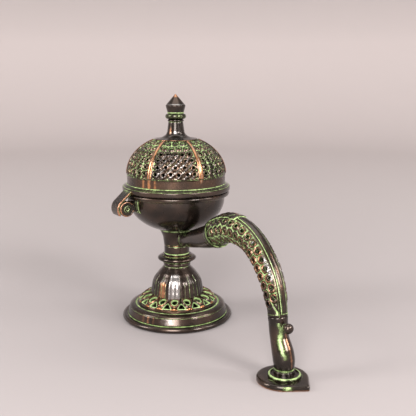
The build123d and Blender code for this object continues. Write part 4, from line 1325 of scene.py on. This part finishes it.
def makeKnob():
    centre, _, outer = station(knob["place"])
    out = girth(knob["place"])
    corners = [(0, -knob["sunk"], 0), (knob["stem"], -knob["sunk"], 0.1), (knob["stem"], 0.2, 0.1),
               (knob["stem"] + 0.9, 0.3, 0.2), (knob["stem"] + 0.6, 0.9, 0.2)]
    corners += arc((0, knob["rise"]), knob["radius"], knob["radius"] - 0.5, -42, 90, 16)
    corners += [(0, knob["rise"], 0)]
    piece = weather(lathe("thumbKnob", rounded(corners, 0.4), 48))
    wide, up = roundPlaces(piece)
    paint(piece, "hollow", 0.85 * bump(up, 0.4, 0.5) * (wide > 1.5))
    # painted highlight: copper wear is cut back over the knob and a copper band painted low round
    # its head
    dampen(piece, "edge", 0.3)
    paint(piece, "edge", 0.75 * bump(up, knob["rise"] - 1.2, 1.0))
    settle(placed(piece, centre + outer * out, outer), "stand", "handle_patina", "thumb_knob")


trims = {
    "cuff": {"span": (0.262, 0.287), "wall": 0.9, "cusps": 9, "depth": 1.5},
    "cap": {"span": (0.292, 0.44), "half": 38.0, "wall": 1.1, "scallop": 6.5, "depth": 0.9},
    "spine": {"span": (0.445, 0.805), "half": 18.0, "wall": 0.9},
}


def makeTrims():
    cuff, cap, spine = trims["cuff"], trims["cap"], trims["spine"]
    far = spanLength(cuff["span"])

    def cuffEdge(turn):
        return cuff["depth"] * np.abs(np.sin(turn * cuff["cusps"] / 2))

    def cuffPattern(along, across, turn, place):
        fromEdge = along - cuffEdge(turn)
        hollow = np.maximum(0.95 * bump(fromEdge, 0.2, 0.7), 0.75 * bump(along, far - 0.2, 0.6))
        return -0.35 * bump(fromEdge, 0, 0.5) + 0.1 * bump(along, far / 2,
                                                           1.0), hollow, 0.35 * bump(along,
                                                                                     far / 2, 0.8)

    piece = onHandle("handleCuff", cuff["span"], pi, (18, 140), cuffPattern,
                     lambda along, across, turn, place: along - cuffEdge(turn) + 0.02, cuff["wall"],
                     handle["play"] + cuff["wall"], "handle_patina")
    settle(piece, "stand", "handle_patina", "handle_cuff")

    capFar = spanLength(cap["span"])

    def capEdge(along, across, place):
        bite = cap["depth"] * np.abs(np.sin(pi * along / cap["scallop"]))
        side = radians(cap["half"]) * girth(place) - bite
        return np.minimum(side - np.abs(across), np.minimum(along, capFar - along) + 0.05)

    def capPattern(along, across, turn, place):
        inside = capEdge(along, across, place)
        leaf = np.abs(np.sin(pi * (along + 0.55 * np.abs(across)) / cap["scallop"]))
        ridge = bump(across, 0, 0.8)
        vein = fallOff(leaf, 0.08, 0.28)
        soft = smoothStep(inside, 0, 0.8)
        lift = 0.45 * np.sqrt(leaf) * soft + 0.35 * ridge - 0.55 * (1 - soft)
        hollow = np.maximum(0.78 * vein * (1 - ridge) * soft, 0.9 * fallOff(inside, 0.2, 0.9))
        edge = np.maximum(0.55 * smoothStep(leaf, 0.6, 1.0) * bump(across, 0, 4), 0.8 * ridge)
        return lift - 0.1, hollow, edge

    piece = onHandle("saddleCap", cap["span"], radians(cap["half"]), (110, 40), capPattern,
                     lambda along, across, turn, place: capEdge(along, across, place) + 0.02,
                     cap["wall"],
                     handle["play"] + cap["wall"] - 0.3, "handle_patina")
    settle(piece, "stand", "handle_patina", "saddle_cap")

    spineFar = spanLength(spine["span"])

    def spinePattern(along, across, turn, place):
        half = radians(spine["half"]) * girth(place)
        side = half - np.abs(across)
        ends = np.minimum(along, spineFar - along)
        soft = smoothStep(np.minimum(side, ends), 0, 0.8)
        groove = bump(side, 0.9, 0.22)
        hollow = np.maximum(0.95 * fallOff(side, 0.15, 0.7), 0.6 * groove)
        hollow = np.maximum(hollow, 0.7 * fallOff(ends, 0.2, 1.0))
        edge = 0.5 * bump(across, 0, 0.35 * half)
        return -0.3 * (1 - soft) - 0.12 * groove + 0.15 * (1 - (across / half) ** 2), hollow, edge

    piece = onHandle("spineStrip", spine["span"], radians(spine["half"]), (150, 22), spinePattern,
                     None,
                     spine["wall"], handle["play"] + spine["wall"] - 0.15, "handle_patina")
    settle(piece, "stand", "handle_patina", "spine_strip")


# leaf foot and the dished boss on it
leafFoot = {"radius": 18.0, "back": 1.8, "tip": 22.0, "turn": 12.0, "thick": 4.0, "ring": 11.4,
            "pad": 7.4,
            "dish": 0.9}


def makeLeafFoot():
    low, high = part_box("foot_boss")
    centre = np.array((low.x / mm + leafFoot["ring"], (low.y + high.y) / 2 / mm))
    touch = acos(leafFoot["radius"] / (leafFoot["tip"] + leafFoot["back"]))
    turns = np.linspace(0, 2 * pi, 160, endpoint=False)
    reach = []
    for turn in turns:
        near = abs((turn + pi) % (2 * pi) - pi)
        reach.append(leafFoot["radius"] / (cos(touch - near) if near < touch else 1))
    reach = np.minimum(reach, leafFoot["tip"] + leafFoot["back"] - 0.3)
    lean = radians(leafFoot["turn"])
    middle = centre - leafFoot["back"] * np.array((cos(lean), sin(lean)))

    def outline(inset, up):
        out = np.maximum(reach - inset, 0.5)
        return np.c_[middle[0] + out * np.cos(turns + lean), middle[1] + out * np.sin(turns + lean),
                     np.full(len(turns), up)]

    thick = leafFoot["thick"]
    rings = [outline(16, 0), outline(8, 0), outline(0.7, 0), outline(0.15, 0.35), outline(0, 0.9),
             outline(0, 1.6),
             outline(0, thick - 1.4), outline(0.25, thick - 0.8), outline(0.8, thick - 0.25),
             outline(1.5, thick)]
    rings += [outline(inset, thick) for inset in (2.4, 3.4, 4.6, 6, 8, 11, 16)]
    piece = weather(tube("leafFoot", rings), 0.8)
    at = pointsOf(piece) / mm
    out = np.hypot(at[:, 0] - centre[0], at[:, 1] - centre[1])
    tipwards = bearing(at, middle) - leafFoot["turn"]
    paint(piece, "edge", 1.0 * bump(at[:, 2], 0.5, 0.7))
    paint(piece, "hollow", 0.7 * bump(out, leafFoot["ring"] + 0.6, 0.8) * (at[:, 2] > 3))
    paint(piece, "hollow",
          0.8 * bump(tipwards, -38, 16) * (at[:, 2] > 0.4) * (at[:, 2] < thick - 0.6))
    settle(piece, "stand", "handle_patina", "leaf_foot")

    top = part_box("foot_boss")[1].z / mm
    ledge = thick + 2.2
    corners = [(0, thick, 0), (leafFoot["ring"] - 0.2, thick, 0.2),
               (leafFoot["ring"], thick + 0.6, 0.3)]
    corners += arc((leafFoot["ring"] - 1.1, ledge - 1.0), 1.1, 1.0, 0, 165, 12)
    corners += [(leafFoot["ring"] - 2.8, ledge - leafFoot["dish"], 0.8),
                (0, ledge - leafFoot["dish"], 0)]
    dish = weather(lathe("dish", rounded(corners, 0.5), 112, tuple(centre)))
    at = pointsOf(dish) / mm
    out = np.hypot(at[:, 0] - centre[0], at[:, 1] - centre[1])
    paint(dish, "hollow", 0.95 * bump(out, leafFoot["ring"] - 0.8, 1.0) * (at[:, 2] > thick + 0.5))
    paint(dish, "edge", 0.45 * (out < leafFoot["ring"] - 3))
    front = bearing(at, centre)
    # painted highlight: a silvery patch on the front of the dish floor
    paint(dish, "polish", 0.9 * bump(front, -40, 26) * (out < leafFoot["ring"] - 2))
    corners = [(0, ledge - 1.2, 0), (leafFoot["pad"] - 0.1, ledge - 1.2, 0.2),
               (leafFoot["pad"], ledge + 0.8, 0.5),
               (leafFoot["pad"] - 0.9, ledge + 1.3, 0.5), (leafFoot["pad"] - 0.5, top, 0.4),
               (0, top, 0)]
    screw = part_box("foot_screw")
    spot = ((screw[0].x + screw[1].x) / 2 / mm, 0.0)
    pad = weather(lathe("pad", rounded(corners, 0.5), 96, spot))
    paint(pad, "hollow", 0.85 * bump(pointsOf(pad)[:, 2] / mm, top - 0.2, 0.5))
    piece = joined("footBoss", [dish, pad])
    settle(piece, "stand", "handle_patina", "foot_boss")


# hinge: bracket on the bowl, pin through it, and the strap from the lid round the outside
hinge = {"cheek": 6.2, "cheekIn": 3.2, "cheekOut": 6.4, "under": 2.6, "over": 4.4, "knuckle": 4.6,
         "knuckleHalf": 3.0,
         "strapIn": 6.7, "strapOut": 8.5, "strapEnd": -35.0, "webTop": 60.0, "width": 18.0,
         "thick": 1.4, "tall": 11.0, "pin": 1.4, "head": 2.9, "headHigh": 0.8, "dimple": 1.1,
         "play": 0.05}


def slab(name, outline, halves):
    # an outline in Y and Z carried across X; halves are (x, inset) steps
    loop = np.array(outline)
    before, after = loop - np.roll(loop, 1, 0), np.roll(loop, -1, 0) - loop
    side = before / np.hypot(*before.T)[:, None] + after / np.hypot(*after.T)[:, None]
    side /= np.maximum(np.hypot(*side.T), 0.1)[:, None]
    area = 0.5 * np.sum(loop[:, 0] * np.roll(loop[:, 1], -1) - np.roll(loop[:, 0], -1) * loop[:, 1])
    inward = np.c_[-side[:, 1], side[:, 0]] * np.sign(area)
    rings = [np.c_[np.full(len(loop), x), loop + inward * inset] for x, inset in halves]
    return tube(name, rings)


def aroundPin(pinAt, radius, angle):
    return (pinAt[0] - radius * cos(radians(angle)), pinAt[1] + radius * sin(radians(angle)))


def makeBracket(pinAt):
    bowlRadius, _, lip = sizes("bowl")
    centre, depth = lip - bowlShape["lip"], bowlShape["depth"]
    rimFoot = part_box("hinge_bracket")[1].z / mm

    # the flange hugs the bowl
    heights = np.linspace(0, hinge["tall"], 24)
    rings = []
    for x in np.linspace(-hinge["width"] / 2, hinge["width"] / 2, 60):
        fromSide = hinge["width"] / 2 - abs(x)
        ribs = 0.35 * bump((fromSide - 1.0) % 2.2, 0.3, 0.4) if fromSide < 3.6 else 0
        lines = []
        for thick in (hinge["play"], hinge["thick"]):
            up = rimFoot - heights
            drop = np.minimum(up - centre, 0)
            out = (bowlRadius + thick) * np.sqrt(1 - (drop / (depth + thick)) ** 2)
            if thick > hinge["play"]:
                soft = np.clip(np.minimum(heights, hinge["tall"] - heights) / 1.0, 0, 1)
                out = out - 0.5 * (1 - soft) - 0.5 * max(0, 0.8 - fromSide) + ribs - 0.35
            lines.append(np.c_[np.full(len(heights), x), -np.sqrt(out ** 2 - x ** 2), up])
        rings.append(np.r_[lines[1], lines[0][::-1]])
    flange = weather(tube("flange", rings))
    at = pointsOf(flange) / mm
    fromSide = hinge["width"] / 2 - np.abs(at[:, 0])
    paint(flange, "hollow", 0.82 * np.maximum(bump(fromSide, 0.3, 0.5), bump(fromSide, 2.4, 0.5)))
    paint(flange, "hollow", 0.6 * bump(at[:, 2], rimFoot - hinge["tall"] + 0.5, 0.7))

    # two cheeks carry the pin
    angles = np.linspace(180 - degrees(np.arcsin(hinge["over"] / hinge["cheek"])),
                         -180 + degrees(np.arcsin(hinge["under"] / hinge["cheek"])), 60)
    outline = [aroundPin(pinAt, hinge["cheek"], angle) for angle in angles]
    outline += [(-bowlRadius + 1.2, pinAt[1] - hinge["under"]),
                (-bowlRadius, pinAt[1] + hinge["over"])]
    parts = [flange]
    for side in (1, -1):
        steps = [(hinge["cheekIn"], 0.3), (hinge["cheekIn"] + 0.3, 0), (hinge["cheekOut"] - 0.5, 0),
                 (hinge["cheekOut"] - 0.2, 0.15), (hinge["cheekOut"], 0.55),
                 (hinge["cheekOut"], 1.1),
                 (hinge["cheekOut"] - 0.3, 1.4), (hinge["cheekOut"] - 0.3, 2.0)]
        cheek = weather(slab("cheek", outline, [(side * x, inset) for x, inset in steps]), 0.8)
        at = pointsOf(cheek) / mm
        out = np.hypot(at[:, 1] - pinAt[0], at[:, 2] - pinAt[1])
        paint(cheek, "edge", 0.85 * bump(out, hinge["cheek"] - 0.7,
                                         0.5) * (np.abs(at[:, 0]) > hinge["cheekOut"] - 0.6))
        paint(cheek, "hollow", 0.6 * bump(at[:, 1], -bowlRadius - 1.6, 0.8))
        parts.append(cheek)
    settle(joined("hingeBracket", parts), "stand", "hinge_patina", "hinge_bracket")


def makePin(pinAt):
    # punched heads stand out at both ends
    outer = hinge["cheekOut"]
    top = outer + hinge["headHigh"]
    half = [(hinge["pin"], outer, 0), (hinge["head"] - 0.1, outer, 0.1),
            (hinge["head"], outer + 0.3, 0.15),
            (hinge["head"] - 0.35, top - 0.05, 0.3), (hinge["dimple"] + 0.35, top, 0.2),
            (hinge["dimple"] - 0.2, top - 0.5, 0.3)]
    corners = [(0, -top + 0.55, 0)] + [(out, -up, soft) for out, up,
                                       soft in half[::-1]] + half + [(0, top - 0.55, 0)]
    piece = weather(lathe("hingePin", rounded(corners, 0.3), 56))
    out, up = roundPlaces(piece)
    paint(piece, "hollow",
          0.92 * np.maximum(bump(out, hinge["head"], 0.35), bump(out, hinge["dimple"] + 0.1, 0.35))
          * (np.abs(up) > outer + 0.1))
    settle(placed(piece, (0, *pinAt), (1, 0, 0)), "stand", "hinge_patina", "hinge_pin")


def makeStrap(pinAt):
    # strap and knuckle swing with the lid
    ringRadius, lidFoot, _ = sizes("lid_ring")
    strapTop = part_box("lid_strap")[1].z / mm

    def touching(radius, height):
        away, up = -pinAt[0] - ringRadius, height - pinAt[1]
        return 90 + degrees(atan2(away, up)) - degrees(acos(radius / hypot(away, up)))

    inner, outerRadius, last = hinge["strapIn"], hinge["strapOut"], hinge["strapEnd"]
    middle = (inner + outerRadius) / 2
    outline = [aroundPin(pinAt, outerRadius, angle)
               for angle in np.linspace(touching(outerRadius, strapTop), last, 26)]
    outline += [aroundPin(pinAt, middle + (outerRadius - middle) * cos(turn), last - 5 * sin(turn))
                for turn in np.linspace(0, pi, 8)[1:-1]]
    outline += [aroundPin(pinAt, inner, angle)
                for angle in np.linspace(last, touching(inner, lidFoot), 26)]
    edgeY = -ringRadius + 0.6
    outline += [(edgeY - 0.7, lidFoot), (edgeY, lidFoot), (edgeY, strapTop),
                (edgeY - 0.7, strapTop)]
    wide = hinge["cheekOut"]
    steps = [(-wide, 0.45), (-wide + 0.15, 0.15), (-wide + 0.5, 0)]
    steps += [(x, 0) for x in np.linspace(-wide + 1.2, wide - 1.2, 15)]
    steps += [(-x, inset) for x, inset in steps[2::-1]]
    strap = weather(slab("strap", outline, steps), 0.9)
    at = pointsOf(strap) / mm
    out = np.hypot(at[:, 1] - pinAt[0], at[:, 2] - pinAt[1])
    rim = bump(np.abs(at[:, 0]), wide - 0.3, 0.6)
    paint(strap, "edge", 0.8 * rim * smoothStep(out, middle, outerRadius))
    paint(strap, "hollow", 0.95 * rim * fallOff(out, inner + 0.1, middle + 0.2))
    paint(strap, "hollow", 0.7 * bump(at[:, 1], -ringRadius - 0.4, 0.8))
    angles = np.linspace(hinge["webTop"], 360 + last, 44)
    outline = [aroundPin(pinAt, hinge["knuckle"], angle) for angle in angles]
    outline += [aroundPin(pinAt, middle, angle)
                for angle in np.linspace(last, hinge["webTop"] - 12, 20)]
    knuckleHalf = hinge["knuckleHalf"]
    steps = [(-knuckleHalf, 0.3), (-knuckleHalf + 0.3, 0), (knuckleHalf - 0.3, 0),
             (knuckleHalf, 0.3)]
    knuckle = weather(slab("knuckle", outline, steps))
    paint(knuckle, "hollow", np.full(len(knuckle.data.vertices), 0.45))
    settle(joined("lidStrap", [strap, knuckle]), "lid", "hinge_patina", "lid_strap")


def makeHinge():
    low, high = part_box("hinge_pin")
    pinAt = ((low.y + high.y) / 2 / mm, (low.z + high.z) / 2 / mm)
    makeBracket(pinAt)
    makePin(pinAt)
    makeStrap(pinAt)


def finishFasteners():
    for node in ("tie_bolt", "tie_washer", "tie_nut", "finial_stud", "finial_nut", "foot_screw"):
        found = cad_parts[node]
        found.data.materials.clear()
        found.data.materials.append(finishes["fastenerBrass"])


makeFootPlate()
makeFootDots()
makePetalSkirt()
makeBell()
makeStem()
print("foot, skirt and stem turned")
makeBowl()
makeLidDome()
makeLidRing()
makeFinial()
print("bowl, lid and finial turned")
makeSleeve()
makeHandleEnds()
makeKnob()
makeTrims()
print("handle wrapped")
makeLeafFoot()
makeHinge()
finishFasteners()
print("leaf foot, hinge and fasteners done")
